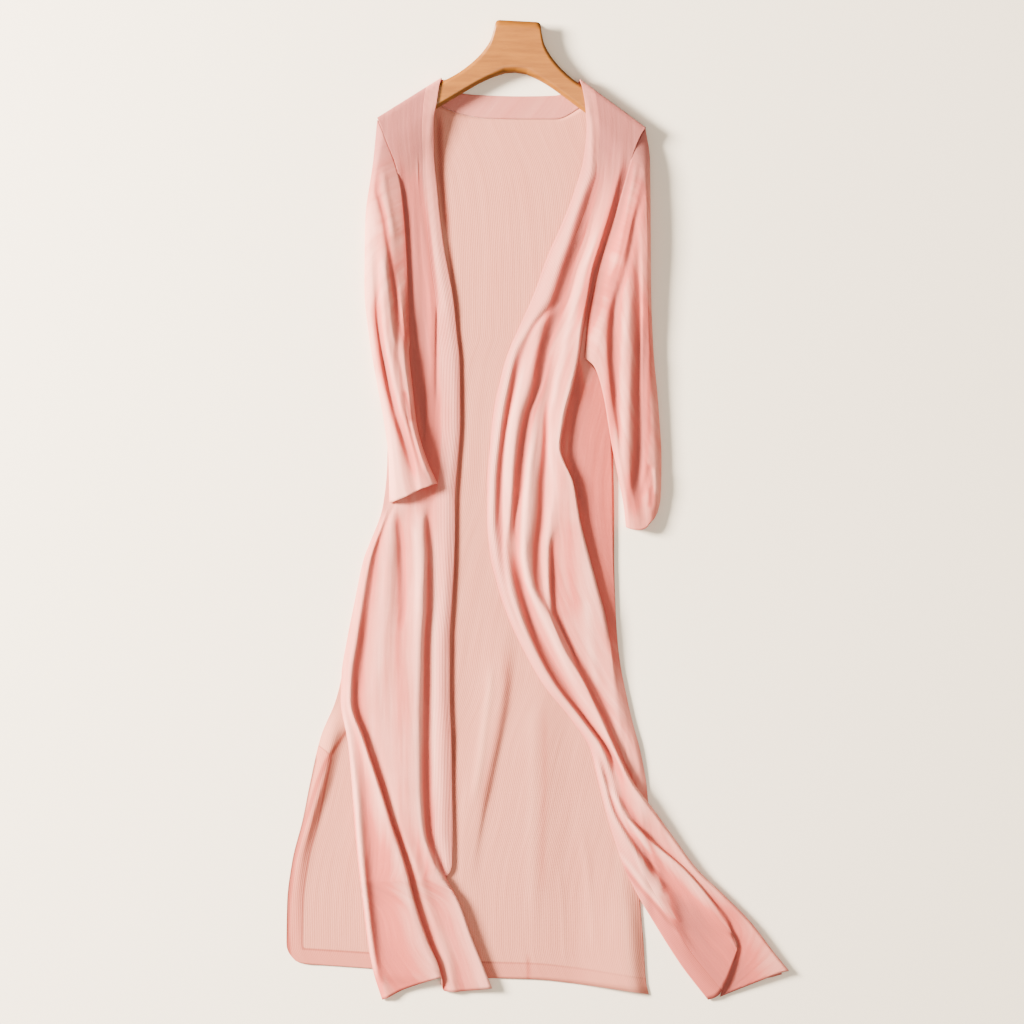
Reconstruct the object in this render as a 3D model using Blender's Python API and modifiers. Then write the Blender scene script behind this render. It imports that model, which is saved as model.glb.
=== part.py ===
"""Duster cardigan in fine knit, laid flat on a surface with a hookless wooden hanger in its shoulders.

Lengths in the tables are millimetres in the garment's own frame: +X to the right of someone looking
down on it, +Y towards the neck, +Z up from the surface that it lies on. The left of the names is the
left seen from above. The origin is the middle of the outline's box, on the surface.
"""

import math

import bpy
import numpy as np

MM = 0.001

# Driving sizes, in millimetres
CLOTH = 1.5
SEAM_GAP = 0.3
BAND_WIDTH = 24.0
BAND_GAP = 0.6
HANGER_DEPTH = 16.0
HANGER_EDGE = 3.5
HANGER_TURN = -3.0
HEAD_TOP = (-25.0, 652.0)

# Heights of the cloth's middle surface over the table that it lies on
ON_SURFACE = CLOTH / 2
ON_BACK = ON_SURFACE + CLOTH + 0.45
OVER_BODY = 6.4
HANGER_BASE = CLOTH + SEAM_GAP
LIFT_FULL = HANGER_BASE + HANGER_DEPTH + SEAM_GAP + CLOTH / 2 - ON_BACK + 0.3

# Steps between two named columns of a table, and along a panel
ACROSS = 2
BAND_STEPS = 4

# Left front, from the opening edge to the armhole and side. Each entry is x/height over what the
# cloth lies on, and a third number is that point's own y where the row isn't straight.
LEFT_FRONT = """
y_edge y_side lift  edge      roll      gutter    ridge     dip       rise      foot      pleat     trough    lip       side
577    524    0     -127/0    -134/0    -142/0    -150/0    -160/0    -170/0    -180/0    -188/0    -196/0    -204/0    -212/0
577    524    .5    -127/0    -134/0    -142/0    -150/0    -160/0    -170/0    -180/0    -188/0    -196/0    -204/0    -212/0
575.5  522.5  .9    -127/0    -134/0    -142/0    -150/0    -160/0    -170/0    -180/0    -188/0    -196/0    -204/0    -212/0
569    516    1     -129/0    -136/0    -144/0    -152/0    -161/0    -170/0    -179/0    -187/0    -195/0    -202/0    -209/0
545    492    1     -133/0    -140/0    -147/0    -154/0    -161/0    -168/0    -175/0    -182/0    -188/0    -194/0    -200/0
520    462    .82   -137/0    -143/1    -149/.5   -154/.5   -160/.5   -165/.5   -170/.5   -175/.5   -180/.5   -184/.5   -188/.5
480    425    .42   -137/.5   -143/1.5  -149/1    -154/1    -159/1    -163/1    -167/1    -171/1    -174/1    -177/1    -180/1
430    380    .2    -133/1    -140/2    -147/1.5  -152/1.5  -156/1.5  -160/1.5  -164/1.5  -167/1.5  -170/1.5  -173/1.5  -176/1.5
360    320    .06   -125/1.5  -133/3    -140/2    -146/2.5  -151/2    -156/1.5  -160/1.5  -164/1.5  -167/1.5  -170/1.5  -173/1.5
280    262    0     -111/2.5  -121/4    -133/2.2  -141/3    -148/2    -154/1.5  -159/1.5  -163/1.5  -166/1.5  -169/1.5  -172/1.5
240    236    0     -107/2.8  -117/4.5  -133/2    -141/3    -149/1.5  -155/1    -160/.8   -164/.6   -167/.5   -170/.4   -173/.3
200    195    0     -103/3    -114/5    -133/2    -141/2.5  -149/1    -156/.5   -163/.3   -170/.2   -176/.1   -181/.1   -186/0
120    115    0     -102/3    -112/5    -132/2    -141/2    -150/.8   -160/.3   -168/.2   -176/.1   -184/.1   -191/0    -198/0
60     55     0     -106/3    -116/5    -133/2    -143/1.5  -153/.5   -162/.3   -170/.2   -178/.1   -186/.1   -194/0    -200/0
16     10     0     -109/3    -120/5    -141/1.2  -153/1.5  -171/1    -184/1    -191/.5   -196/.4   -199/.2   -202/.1   -205/0
-15    -20    0     -109/3    -121/5    -144/.8   -154/8    -179/2.5  -194/5    -203/2    -207/3    -209/2    -211/1    -213/0
-60    -62    0     -110/3.5  -122/5.5  -142/.5   -152/11   -180/3    -196/7    -215/3    -222/6    -225/4.5  -228/2.5  -230/0
-120   -122   0     -113/3.5  -124/6    -142/.5   -153/12   -181/4    -200/7    -223/3    -233/7    -237/5    -240/2.5  -243/0
-170   -172   0     -116/3.5  -127/6    -146/.5   -156/12   -183/6    -205/7    -230/2.5  -241/8    -246/5.5  -250/2.5  -253/0
-215   -217   0     -116/3.5  -128/6    -147/.5   -157/12   -185/7    -208/7    -236/2    -248/8    -253/5.5  -257/2.5  -260/0
-245   -250   0     -116/3.5  -128/6    -147/.5   -158/12   -186/7.5  -212/6.5  -241/2    -249/9    -254/6.5  -258/4    -261/1
-300   -303   0     -114/3.5  -127/6    -147/.5   -159/12   -180/8    -205/6    -228/1.5  -232/11   -240/7    -247/6    -252/2
-360   -363   0     -113/3.5  -127/6    -147/.5   -158/12   -174/9    -192/7    -209/1.5  -212/12   -228/6    -240/8    -246/2
-420   -423   0     -112/3.5  -126/6    -145/.5   -153/12   -166/8    -178/7    -190/1.5  -193/12   -223/5    -236/9    -242/2
-470   -474   0     -113/2    -120/2.5  -128/.8   -137/11   -150/6    -160/7    -173/1.5  -177/12   -217/5    -231/9    -237/2
-520   -525   0     -140/.2   -124/.3   -106/1    -105/8.5  -134/5    -146/6    -161/1.5  -164/12   -211/4.5  -225/9    -231/2
-570   -578   0     -124/.2   -107/.3   -89/1     -87/8.5   -116/5    -127/6    -144/1.5  -147/11   -205/4    -218/8    -224/2
-605   -615   0     -110/.2   -94/.3    -76/1     -73/8     -104/4    -116/6    -131/1.5/-608  -134/11/-598  -198/4/-612  -210/7/-616  -216/1.5/-618
-630   -650   0     -96/.2/-630  -81/.3/-632  -63/1/-634  -60/7.5/-634  -97/3.5/-638  -111/5/-639  -124/1.5/-638  -128/10/-619  -180/3.5/-637  -197/5/-646  -206/1/-650
"""

# Right front, the same way. Its folds run from the shoulder to the opening, and the last pleat
# lies over the side of the body and, below the slit, folds under itself.
RIGHT_FRONT = """
y_edge y_side lift  edge     fold_a   dip_a    fold_b   dip_b    fold_c   dip_c    fold_d   dip_d    pleat    foot     strip    side
575    511    0     57/0     64/0     71/0     78/0     85/0     92/0     99/0     107/0    114/0    121/0    128/0    136/0    144/0
575    511    .5    57/0     64/0     71/0     78/0     85/0     92/0     99/0     107/0    114/0    121/0    128/0    136/0    144/0
573.5  509.5  .9    57/0     64/0     71/0     78/0     85/0     92/0     99/0     107/0    114/0    121/0    128/0    136/0    144/0
567    504    1     59/0     66/0     73/0     80/0     86/0     93/0     100/0    107/0    113/0    120/0    126/0    133/0    140/0
540    480    1     64/0     70/1     76/.5    82/.5    87/.5    93/.5    98/.5    104/.5   109/.5   114/.5   119/.5   124/.5   129/.5
510    452    .8    66/.5    73/3     79/2     84/1.5   89/1.5   93/1.5   98/1.5   102/2    107/2.5  111/3    115/2    118/1    121/.5
470    422    .55   62/1     73/5     80/3     84/3     88/3     91/3.5   94/4     97/4.5   100/5    104/6    108/3    110/2    113/1
430    390    .38   51/1.5   62/6     70/3     74/2.5   78/2.5   82/3     85/4     88/5     91/6     95/7     99/3     101/1.5  104/.8
385    352    .24   34/2     48/7     60/3     64/2     68/2     71/3     74/4.5   77/6     80/7     83/8     88/2     90/1     92/.8
340    318    .14   14/2     32/8     44/4     50/2     54/2     58/3.5   62/5     66/7     69/8     72/9     77/2     79/1     82/.8
290    280    .07   -4/2     16/8     28/4.5   36/2.5   42/2     46/4     50/6     55/8     59/9     65/10    69/2     72/1     74/.8
245    240    .02   -24/2    -12/6    -6/5     4/8      22/3     30/3.5   36/5     42/7     48/9     57/12    61/2     64/1     67/.8
215    212    0     -37/2    -27/6    -18/3.5  -1/9     14/3     22/3.5   27/5     33/7     40/10    54/13    57/2     60/1     64/.5
170    165    0     -50/2    -39/7    -29/3    -13/10   4/4      9/5      18/4.5   26/8     32/10    44/14    49/1.5   68/2.5   96/0
130    125    0     -58/2    -47/7    -38/3    -25/10   -12/4    -4/6     12/4     19/8     24/10    34/14    40/1.5   64/3.5   100/0
90     85     0     -62/2    -52/7    -43/3    -31/10   -18/4    -6/7     12/3.5   17/8     20/11    29/14    33/1.5   60/3.5   101/0
40     36     0     -66/2    -57/7    -46/3    -34/10   -21/4    -8/9     10/3     24/9     32/11    48/13    45/1.5   68/3     102/0
-10    -13    0     -66/2    -58/6    -46/3    -37/8    -29/4    -11/10   7/3      19/8     30/8     57/12    53/1.5   76/3     102/0
-50    -52    0     -63/2    -54/5    -47/4    -40/6    -28/3    -15/10   3/3      14/7     22/3     67/11    63/1.5   82/2.5   102/0
-95    -96    0     -53/2    -46/5    -41/6    -35/8    -19/2    -8/9     7/4      15/7     24/1.5   79/10    76/1.5   90/2     103/0
-140   -141   0     -38/2    -31/6    -27/7    -22/9    -8/2     16/10    20/8     24/5     30/1.5   91/9     89/2      97/1.5   105/0
-185   -186   0     -17/2    -11/6    -7/8     -2/9     13/1.5   36/10    40/8     44/5     50/1.5   98/7     100/4     104/2    108/0
-230   -231   0     9/2      15/6     19/8     24/9     38/1.5   63/10    67/8     70/5     76/1.5   102/6    108/4     112/2    116/0
-275   -276   0     45/2     50/5     54/7     58/8     66/2     84/10    88/8     91/5     97/1.5   110/5    117/4     122/2    126/0
-315   -317   0     71/2     76/5     80/7     86/9     93/3     103/11   107/8    109/4.5  111/1.5  117/1.5  123/3     130/3    137/.2
-355   -358   0     81/2     88/6     93/4     100/6    108/5    122/12   126/8    123/4.2  119/1.6  124/.5   131/1.5   138/1.5  145/.2
-395   -398   0     91/2     99/6     104/4    112/8    120/5.5  151/12   156/7.5  145/4    131/1.6  135/.3   140/.2    145/.2   150/.2
-435   -437   0     103/2    120/8    128/4    148/11   154/5    180/9.5  184/6    173/3.6  160/1.6  163/.3   167/.2    171/.2   175/.2
-475   -475   0     117/2    145/9    156/2.5  193/11   198/7    208/9    212/6    204/3.4  190/1.6  193/.3   197/.2    201/.2   205/.2
-515   -512   0     137/2    169/8    188/2.5  226/11   231/7    246/8.5  250/5.6  241/3.2  226/1.6  229/.3   234/.2    239/.2   243/.2
-555   -548   0     161/2    186/6    198/3    252/10   259/6.5  281/8.5  285/5.4  275/3.2  258/1.6  262/.3   268/.2    274/.2   279/.2
-605   -590   0     193/2/-605    208/3.5/-603  219/4/-598  263/9.5/-566  262/3.6/-600    312/8/-588    316/5.2/-588  304/3.1/-591  286/1.6/-598  290/.3/-599  296/.2/-598  303/.2/-596  310/.2/-594
-650   -616   0     228/1.5/-650  240/4/-645    251/6.2/-628 268/8.2/-578  244/1.1/-646    331/7/-611    335/4.8/-611  324/3/-614    303/1.6/-620  307/.3/-621  313/.2/-620  320/.2/-618  327/.2/-616
"""

# Back, from its left edge to its right. The first row is the shoulders and the lower edge of the
# neck band, and heights are those of its soft creases and curled slit edges.
BACK = """
y      left        curl        inner       panel       crease_a    middle      crease_b    flat        ridge       right
0      -212/0/522  -149/0/559  -127/0/541  -100/0/530  -66/0/524.3 -20/0/523.2 25/0/523.2  56/0/537    79/0/552    144/0/507
500    -203/0      -151/0      -125/0      -98/0       -66/0       -20/0       25/0        52/0        84/0        138/0
455    -185/0      -150/0      -120/0      -96/0       -66/0       -20/0       25/0        52/0        84/0        121/0
400    -177/0      -150/0      -118/0      -94/0       -66/0       -20/0       25/0        50/0        80/0        109/0
330    -173/0      -150/0      -118/0      -94/0       -66/0       -20/0       25/0        50/0        78/0        104/0
260    -172/0      -150/0      -118/0      -94/0       -64/0       -20/0       22/0        50/0        78/0        102/0
236    -173/0      -150/0      -118/0      -94/0       -64/0       -20/0       20/0        50/0        78/0        101.5/0
195    -186/0      -155/0      -120/0      -94/0       -62/0       -20/0       18/0        50/0        78/0        101/0
115    -198/0      -160/0      -124/0      -94/0       -60/0       -20/0       16/0        48/0        76/0        101.5/0
55     -200/0      -165/0      -128/0      -94/0       -56/0       -20/0       14/0        46/0        76/0        102/0
10     -205/0      -172/0      -134/0      -94/0       -52/0       -20/0       13/0        46/0        76/0        103/0
-62    -230/0      -190/0      -144/0      -94/0       -48/0       -18/0       11/0        46/0        78/0        103/0
-122   -243/0      -205/0      -154/0      -94/0       -46/0       -16/0       10/0        46/0        80/0        104.5/0
-172   -253/0      -215/0      -160/0      -94/0       -45/1.2     -22/0       8/0         46/0        80/0        107.5/0
-217   -260/0      -225/0      -168/0      -94/0       -46/3       -28/.4      5/1         46/0        84/0        113.5/0
-250   -268/0      -252/0      -176/0      -96/0       -49/3.6     -32/.4      4/1.8       46/0        88/0        120.5/0
-300   -288/.5     -272/5      -250/0      -110/0      -57/3.6     -42/.4      3/2.2       46/0        94/0        129/0
-360   -302/.5     -287/6      -270/0      -140/0      -70/3.4     -54/.4      1/2.2       46/0        98/.2       133/0
-410   -312/.5     -301/5      -286/0      -150/0      -79/2.4     -66/.2      0/2         46/0        100/.3      134.5/0
-465   -326/.5     -315/3      -296/0      -150/0      -88/.8      -72/0       -1/1.6      46/0        105/1.2     135.5/0
-520   -333/.3     -321/1.5    -300/0      -150/0      -92/0       -72/0       -2/1        46/0        113/4       137.5/0
-575   -334/0      -318/.6     -300/0      -150/0      -92/0       -72/0       -3/.5       46/0        119/6       142/0
-600   -322/0/-598 -308/.4/-600 -290/0/-602 -150/0/-612 -92/0/-617 -72/0/-618  -3/.3/-618  46/0/-621   123/6/-628  145.5/0/-628
-640   -316/0/-601 -304/.2/-603 -286/0/-604 -150/0/-614 -92/0/-620 -72/0/-621  -3/.2/-623  46/0/-628   127/6/-639  149/0/-643
"""

# Sleeves, from the armhole down. Each ring goes over the top from the inner fold to the outer one,
# as x/height over the surface, with y from the inner to the outer fold unless an entry has its own.
LEFT_SLEEVE = """
y_inner y_outer inner        crest_a      dip_a        crest_b      dip_b        crest_c      head         outer
224     521     -172/8/224   -173/9.5/275 -174.2/9/325 -177.3/11/385 -182.3/14/432 -190.5/17/464 -204.6/20/500 -213.4/10/521
214     470     -171/9/214   -178/14/262  -185/12.5/312 -197/17/372 -204/17/410  -208/17.5/430 -213/17/450 -217/9/470
205     385     -170.5/10    -178/17      -187/14      -203/19      -212/15.5    -218/14      -223/12      -228/6
185     300     -168.5/10.5  -177/19      -185/17.5    -200/20.5    -212/12.5    -217/14      -222/12.5    -229/6
155     235     -165/11      -172/20      -178/19.5    -191/21.5    -206/12.5    -211/14.5    -216/12.5    -223/6
120     175     -161/11.5    -168/20.5    -173/20      -180/21.5    -194/14.5    -201/17      -207/14      -213/6.5
90      120     -154/11.5    -160/20.5    -164/20      -169/21      -180/15.5    -188/17.5    -196/14.5    -203/7
62      70      -144/11.5    -150/20      -155/19.5    -160/20      -170/15.5    -180/17      -190/15      -197/7
38      12      -133/11/38   -139/17/36   -146/18.5/33 -153/18.5/31 -161/16/27   -172/16.5/21 -185/14.5/16 -196/6/12
"""

RIGHT_SLEEVE = """
y_inner y_outer inner        crest_a      dip_a        crest_b      dip_b        crest_c      head         outer
205     510     66/8.5/205   69.5/9.5/250 77.5/9.5/292 91/10/345    105.5/12/391 120/18/443   130.5/20/480 145.5/10/510
195     470     76/9.5/195   86/16/238    100/14/285   116/21/345   127/21/390   135/21.5/420 142/20.5/445 149.5/10.5/470
150     380     90/9.5       96/16        105/12       122/21       134/18       140/20.5     146/20       150.5/10
120     300     95/9.5       100/15.5     107/11.5     122/20       136/15       141/18       147/17       151/9
90      220     100/9.5      105/15       110/12.5     121/19.5     135/13.5     141/16.5     148/15.5     154/8
60      140     106/9.5      110/15       113/15.5     121/19       136/13       143/15       152/14       161/7
35      70      111/9.5      115/15       118/16       123/17.5     136/12.5     145/14.5     155/13.5     165/6.5
8       20      116/9        120/14.5     124/15       129/15       139/12.5     148/14       156/13       164/6.5
-20     0       119/8/-20    123/12/-22   129/13/-23.5 136/13/-24   144/12.5/-22 150/12/-15   156/10/-8    160/6.5/0
"""

# Upper edge of the neck band, at the places where the back's top edge has its named points
NECK_BAND_TOP = """
curl  inner panel crease_a middle crease_b flat ridge
-127  -113  -94   -64      -20    23       43   57
577   562   557   555      554    555      562  574.5
"""

# Half outline of the hanger, from the middle of its head's top
HANGER_HALF = """
out down
27  0
30  -3
31.5 -12
35  -26
44  -42
58  -58
76  -73
95  -85
125 -105
150 -121
161 -129
169 -138
168 -147
160 -150
145 -147
125 -135
98  -117
80  -105
60  -92
35  -77
15  -69
"""


def read_table(text):
    """Column names, and each row's entries as lists of numbers."""
    lines = [line.split() for line in text.strip().splitlines()]
    return lines[0], [[[float(n) for n in entry.split("/")] for entry in line] for line in lines[1:]]


def column_slopes(knots, values):
    """Slopes of a curve through each column of values that never overshoots a crest or a valley."""
    steps = np.diff(knots)[:, None]
    rises = np.diff(values, axis=0) / steps
    slopes = np.zeros_like(values)
    before, after = rises[:-1], rises[1:]
    w_before = 2 * steps[1:] + steps[:-1]
    w_after = steps[1:] + 2 * steps[:-1]
    same_way = before * after > 0
    safe_before = np.where(same_way, before, 1.0)
    safe_after = np.where(same_way, after, 1.0)
    mean = (w_before + w_after) / (w_before / safe_before + w_after / safe_after)
    slopes[1:-1] = np.where(same_way, mean, 0.0)
    slopes[0], slopes[-1] = rises[0], rises[-1]
    return slopes


def curve_at(knots, values, places):
    """Values of the smooth curves through (knots, values) at the places."""
    knots = np.asarray(knots, float)
    values = np.asarray(values, float)
    flat = values.reshape(len(knots), -1)
    slopes = column_slopes(knots, flat)
    k = np.clip(np.searchsorted(knots, places, side="right") - 1, 0, len(knots) - 2)
    width = (knots[k + 1] - knots[k])[:, None]
    t = ((places - knots[k]) / width[:, 0])[:, None]
    start, end = flat[k], flat[k + 1]
    out = (
        start * (1 + 2 * t) * (1 - t) ** 2
        + slopes[k] * width * t * (1 - t) ** 2
        + end * t * t * (3 - 2 * t)
        - slopes[k + 1] * width * t * t * (1 - t)
    )
    return out.reshape((len(places),) + values.shape[1:])


def ramp(value, low, high):
    """0 below low, 1 above high, and a smooth rise between."""
    t = np.clip((value - low) / (high - low), 0, 1)
    return t * t * (3 - 2 * t)


def named_points(text, first=3):
    """A panel's named points as an array of rows, columns and (x, y, height), and each row's lift.

    A point's y runs evenly from the row's first y to its second as x does, unless it has its own.
    """
    _, rows = read_table(text)
    points = []
    for row in rows:
        entries = row[first:]
        y_start = row[0][0]
        y_end = row[1][0] if first > 1 else y_start
        x_start = entries[0][0]
        x_end = entries[-1][0]
        line = []
        for entry in entries:
            share = (entry[0] - x_start) / (x_end - x_start)
            y = entry[2] if len(entry) > 2 else y_start + (y_end - y_start) * share
            line.append((entry[0], y, entry[1]))
        points.append(line)
    lifts = [row[2][0] if first == 3 else 0.0 for row in rows]
    return np.array(points), np.array(lifts)


def back_outline():
    """The back's left edge, right edge and hem as arrays of (x, y)."""
    points, _ = named_points(BACK, first=1)
    return points[:, 0, :2], points[:, -1, :2], points[-1, :, :2]


def past_the_back(x, y):
    """How far a place lies outside the back's side edges and hem, in millimetres."""
    left, right, hem = back_outline()
    past_left = np.interp(-y, -left[:, 1], left[:, 0]) - x
    past_right = x - np.interp(-y, -right[:, 1], right[:, 0])
    past_hem = np.interp(x, hem[:, 0], hem[:, 1]) - y
    return np.maximum(np.maximum(past_left, past_right), past_hem)


def front_height(x, y, height, lift):
    """Heights of a front's points: on the back, on the surface past the back, or over the hanger."""
    down = ramp(past_the_back(x, y), 4.0, 18.0)
    floor = ON_BACK + (ON_SURFACE + 0.1 - ON_BACK) * down
    return floor + lift + height


def row_places(points):
    """Each row's distance down the panel, as the mean over its columns."""
    gaps = np.linalg.norm(np.diff(points, axis=0), axis=2).mean(axis=1)
    return np.concatenate([[0.0], np.cumsum(gaps)])


def spread(points, rows, columns):
    """Points on the smooth surface through named points, at row places and column places."""
    down = curve_at(row_places(points), points, rows)
    across = curve_at(np.arange(points.shape[1]), np.swapaxes(down, 0, 1), columns)
    return np.swapaxes(across, 0, 1)


def even_rows(points, count, extra=(), hem=0):
    """Row places: even steps, the table's own rows where the cloth turns, and close ones at the hem."""
    places = row_places(points)
    even = np.linspace(0, places[-1], count)
    kept = places[list(extra)]
    close = places[-1] - np.arange(1, hem + 1) * 6.0
    rows = np.sort(np.concatenate([even, kept, close]))
    return rows[np.concatenate([[True], np.diff(rows) > 1e-6])]


def lengths_across(rows_of_points):
    """Distance along each row of points from its first."""
    gaps = np.linalg.norm(np.diff(rows_of_points, axis=1), axis=2)
    return np.concatenate([np.zeros((len(gaps), 1)), np.cumsum(gaps, axis=1)], axis=1)


def at_lengths(rows_of_points, lengths):
    """The points at given distances along each row."""
    along = lengths_across(rows_of_points)
    out = np.empty(lengths.shape + (3,))
    for i, (line, s) in enumerate(zip(rows_of_points, along)):
        for axis in range(3):
            out[i, :, axis] = np.interp(lengths[i], s, line[:, axis])
    return out


def front_surface(text, count):
    """A front's rows of points with fine steps across, and the length at each of its columns."""
    points, lifts = named_points(text)
    lifts = np.broadcast_to(lifts[:, None, None] * LIFT_FULL, points.shape[:2] + (1,))
    points = np.concatenate([points, lifts], axis=2)
    rows = even_rows(points, count, extra=range(1, 9), hem=8)
    columns = points.shape[1]
    places = np.linspace(0, columns - 1, (columns - 1) * 12 + 1)
    fine = spread(points, rows, places)
    fine[..., 2] = front_height(*np.moveaxis(fine, 2, 0))
    fine = fine[..., :3]
    return fine, lengths_across(fine)[:, ::12]


def band_and_panel(text, count):
    """The front's band along its opening, and the rest of it past the seam."""
    fine, at_columns = front_surface(text, count)
    total = at_columns[:, -1]
    band = np.linspace(0, BAND_WIDTH, BAND_STEPS + 1)[None, :].repeat(len(fine), 0)
    least = BAND_WIDTH + BAND_GAP + 2.5 * np.arange(1, at_columns.shape[1] - 2)
    knots = np.maximum(at_columns[:, 3:], least)
    knots = np.concatenate([np.full((len(fine), 1), BAND_WIDTH + BAND_GAP), knots], axis=1)
    share = np.linspace(0, knots.shape[1] - 1, (knots.shape[1] - 1) * ACROSS + 1)
    lengths = np.array([np.interp(share, np.arange(len(k)), k) for k in knots])
    lengths[:, -1] = total
    return at_lengths(fine, band), at_lengths(fine, lengths)


def grid_faces(rows, columns, closed=False):
    """Quads between neighbouring points of a grid, closed across where it is a tube."""
    index = np.arange(rows * columns).reshape(rows, columns)
    if closed:
        index = np.concatenate([index, index[:, :1]], axis=1)
    quads = np.stack([index[:-1, :-1], index[1:, :-1], index[1:, 1:], index[:-1, 1:]], axis=-1)
    return quads.reshape(-1, 4)


def cloth_object(name, points, material, closed=False, flip=False):
    """A cloth piece: a sheet through the points, thickened evenly to both sides."""
    rows, columns = points.shape[:2]
    faces = grid_faces(rows, columns, closed)
    if flip:
        faces = faces[:, ::-1]
    mesh = bpy.data.meshes.new(name)
    mesh.from_pydata((points.reshape(-1, 3) * MM).tolist(), [], faces.tolist())
    mesh.materials.append(material)
    mesh.shade_smooth()
    piece = bpy.data.objects.new(name, mesh)
    wall = piece.modifiers.new("wall", "SOLIDIFY")
    wall.thickness = CLOTH * MM
    wall.offset = 0.0
    wall.use_rim = True
    return piece


def under_sleeve(x, y, side):
    """Height of a sleeve's lower layer: on the surface, or over the body that it crosses."""
    left, right, _ = back_outline()
    if side == "left":
        inside = x - np.interp(-y, -left[:, 1], left[:, 0])
    else:
        inside = np.interp(-y, -right[:, 1], right[:, 0]) - x
    return ON_SURFACE + 0.1 + (OVER_BODY - ON_SURFACE) * ramp(inside, -17.0, -4.0)


def back_surface(count):
    """The back's grid of points."""
    points, _ = named_points(BACK, first=1)
    points[..., 2] += ON_SURFACE
    columns = np.linspace(0, points.shape[1] - 1, (points.shape[1] - 1) * ACROSS + 1)
    return spread(points, even_rows(points, count), columns)


def neck_band_surface(back):
    """The neck band's grid: its lower edge keeps a seam's gap from the back's top edge."""
    columns, rows = read_table(NECK_BAND_TOP)
    top = np.array(rows)[:, :, 0]
    steps = (len(columns) - 1) * ACROSS + 1
    upper = curve_at(np.arange(len(columns)), top.T, np.linspace(0, len(columns) - 1, steps))
    lower = back[0, ACROSS : ACROSS + steps, :2]
    along = np.gradient(lower, axis=0)
    across = np.stack([-along[:, 1], along[:, 0]], axis=1)
    across /= np.linalg.norm(across, axis=1)[:, None]
    lower = lower + across * (SEAM_GAP + 0.1)
    share = np.linspace(0, 1, 4)[:, None, None]
    flat = upper[None] + (lower - upper)[None] * share
    return np.concatenate([flat, np.full(flat.shape[:2] + (1,), ON_SURFACE)], axis=2)


def sleeve_surface(text, side, count):
    """A sleeve's closed rings: the table's upper layer, then its lower layer back under it."""
    top, _ = named_points(text, first=2)
    under = top[:, -2:0:-1].copy()
    under[..., 2] = under_sleeve(under[..., 0], under[..., 1], side)
    rings = np.concatenate([top, under], axis=1)
    named = rings.shape[1]
    wrapped = np.concatenate([rings[:, -2:], rings, rings[:, :2]], axis=1)
    columns = 2 + np.arange(named * ACROSS) / ACROSS
    return spread(wrapped, even_rows(wrapped, count, extra=(1, 2)), columns)


def hanger_object(material):
    """The hanger: its mirrored outline, turned a little about its head, with rounded edges."""
    _, rows = read_table(HANGER_HALF)
    half = np.array(rows)[:, :, 0]
    outline = np.concatenate([half * [-1, 1], half[::-1]])
    turn = math.radians(HANGER_TURN)
    x = outline[:, 0] * math.cos(turn) - outline[:, 1] * math.sin(turn) + HEAD_TOP[0]
    y = outline[:, 0] * math.sin(turn) + outline[:, 1] * math.cos(turn) + HEAD_TOP[1]
    low = np.stack([x, y, np.full(len(x), HANGER_BASE)], axis=1)
    high = low + [0, 0, HANGER_DEPTH]
    count = len(x)
    faces = [list(range(count))[::-1], list(range(count, 2 * count))]
    for i in range(count):
        j = (i + 1) % count
        faces.append([i, j, count + j, count + i])
    mesh = bpy.data.meshes.new("hanger")
    mesh.from_pydata((np.concatenate([low, high]) * MM).tolist(), [], faces)
    mesh.materials.append(material)
    mesh.shade_smooth()
    piece = bpy.data.objects.new("hanger", mesh)
    edge = piece.modifiers.new("edge", "BEVEL")
    edge.width = HANGER_EDGE * MM
    edge.segments = 3
    edge.limit_method = "ANGLE"
    edge.angle_limit = math.radians(70)
    return piece


def finish_material(name, colour, roughness):
    """One plain surface finish."""
    material = bpy.data.materials.new(name)
    material.use_nodes = True
    shader = material.node_tree.nodes["Principled BSDF"]
    shader.inputs["Base Color"].default_value = (*colour, 1.0)
    shader.inputs["Roughness"].default_value = roughness
    return material


def main():
    for old in list(bpy.data.objects):
        bpy.data.objects.remove(old, do_unlink=True)
    knit = (0.86, 0.43, 0.38)
    rib = (0.80, 0.40, 0.35)
    inside = (0.79, 0.55, 0.46)
    back = back_surface(26)
    left_band, left_panel = band_and_panel(LEFT_FRONT, 28)
    right_band, right_panel = band_and_panel(RIGHT_FRONT, 28)
    pieces = [
        cloth_object("back", back, finish_material("back knit", inside, 0.9)),
        cloth_object("neck_band", neck_band_surface(back), finish_material("neck rib", rib, 0.9)),
        cloth_object("left_front_band", left_band, finish_material("left band rib", rib, 0.9)),
        cloth_object("left_front", left_panel, finish_material("left front knit", knit, 0.9)),
        cloth_object("right_front_band", right_band, finish_material("right band rib", rib, 0.9), flip=True),
        cloth_object("right_front", right_panel, finish_material("right front knit", knit, 0.9), flip=True),
        cloth_object(
            "left_sleeve",
            sleeve_surface(LEFT_SLEEVE, "left", 14),
            finish_material("left sleeve knit", knit, 0.9),
            closed=True,
        ),
        cloth_object(
            "right_sleeve",
            sleeve_surface(RIGHT_SLEEVE, "right", 14),
            finish_material("right sleeve knit", knit, 0.9),
            closed=True,
            flip=True,
        ),
        hanger_object(finish_material("hanger wood", (0.60, 0.33, 0.13), 0.45)),
    ]
    garment = bpy.data.collections.new("duster_cardigan")
    bpy.context.scene.collection.children.link(garment)
    for piece in pieces:
        garment.objects.link(piece)


if __name__ == "__main__":
    main()
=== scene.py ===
"""Duster cardigan in fine knit, laid flat with a wooden hanger in its shoulders, seen from straight above.

Lengths in the tables are millimetres in the garment's own frame: +X to the right of someone looking
down on it, +Y towards the neck, +Z up from the surface. Names of folds follow the tables' columns.
"""

import math

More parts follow.
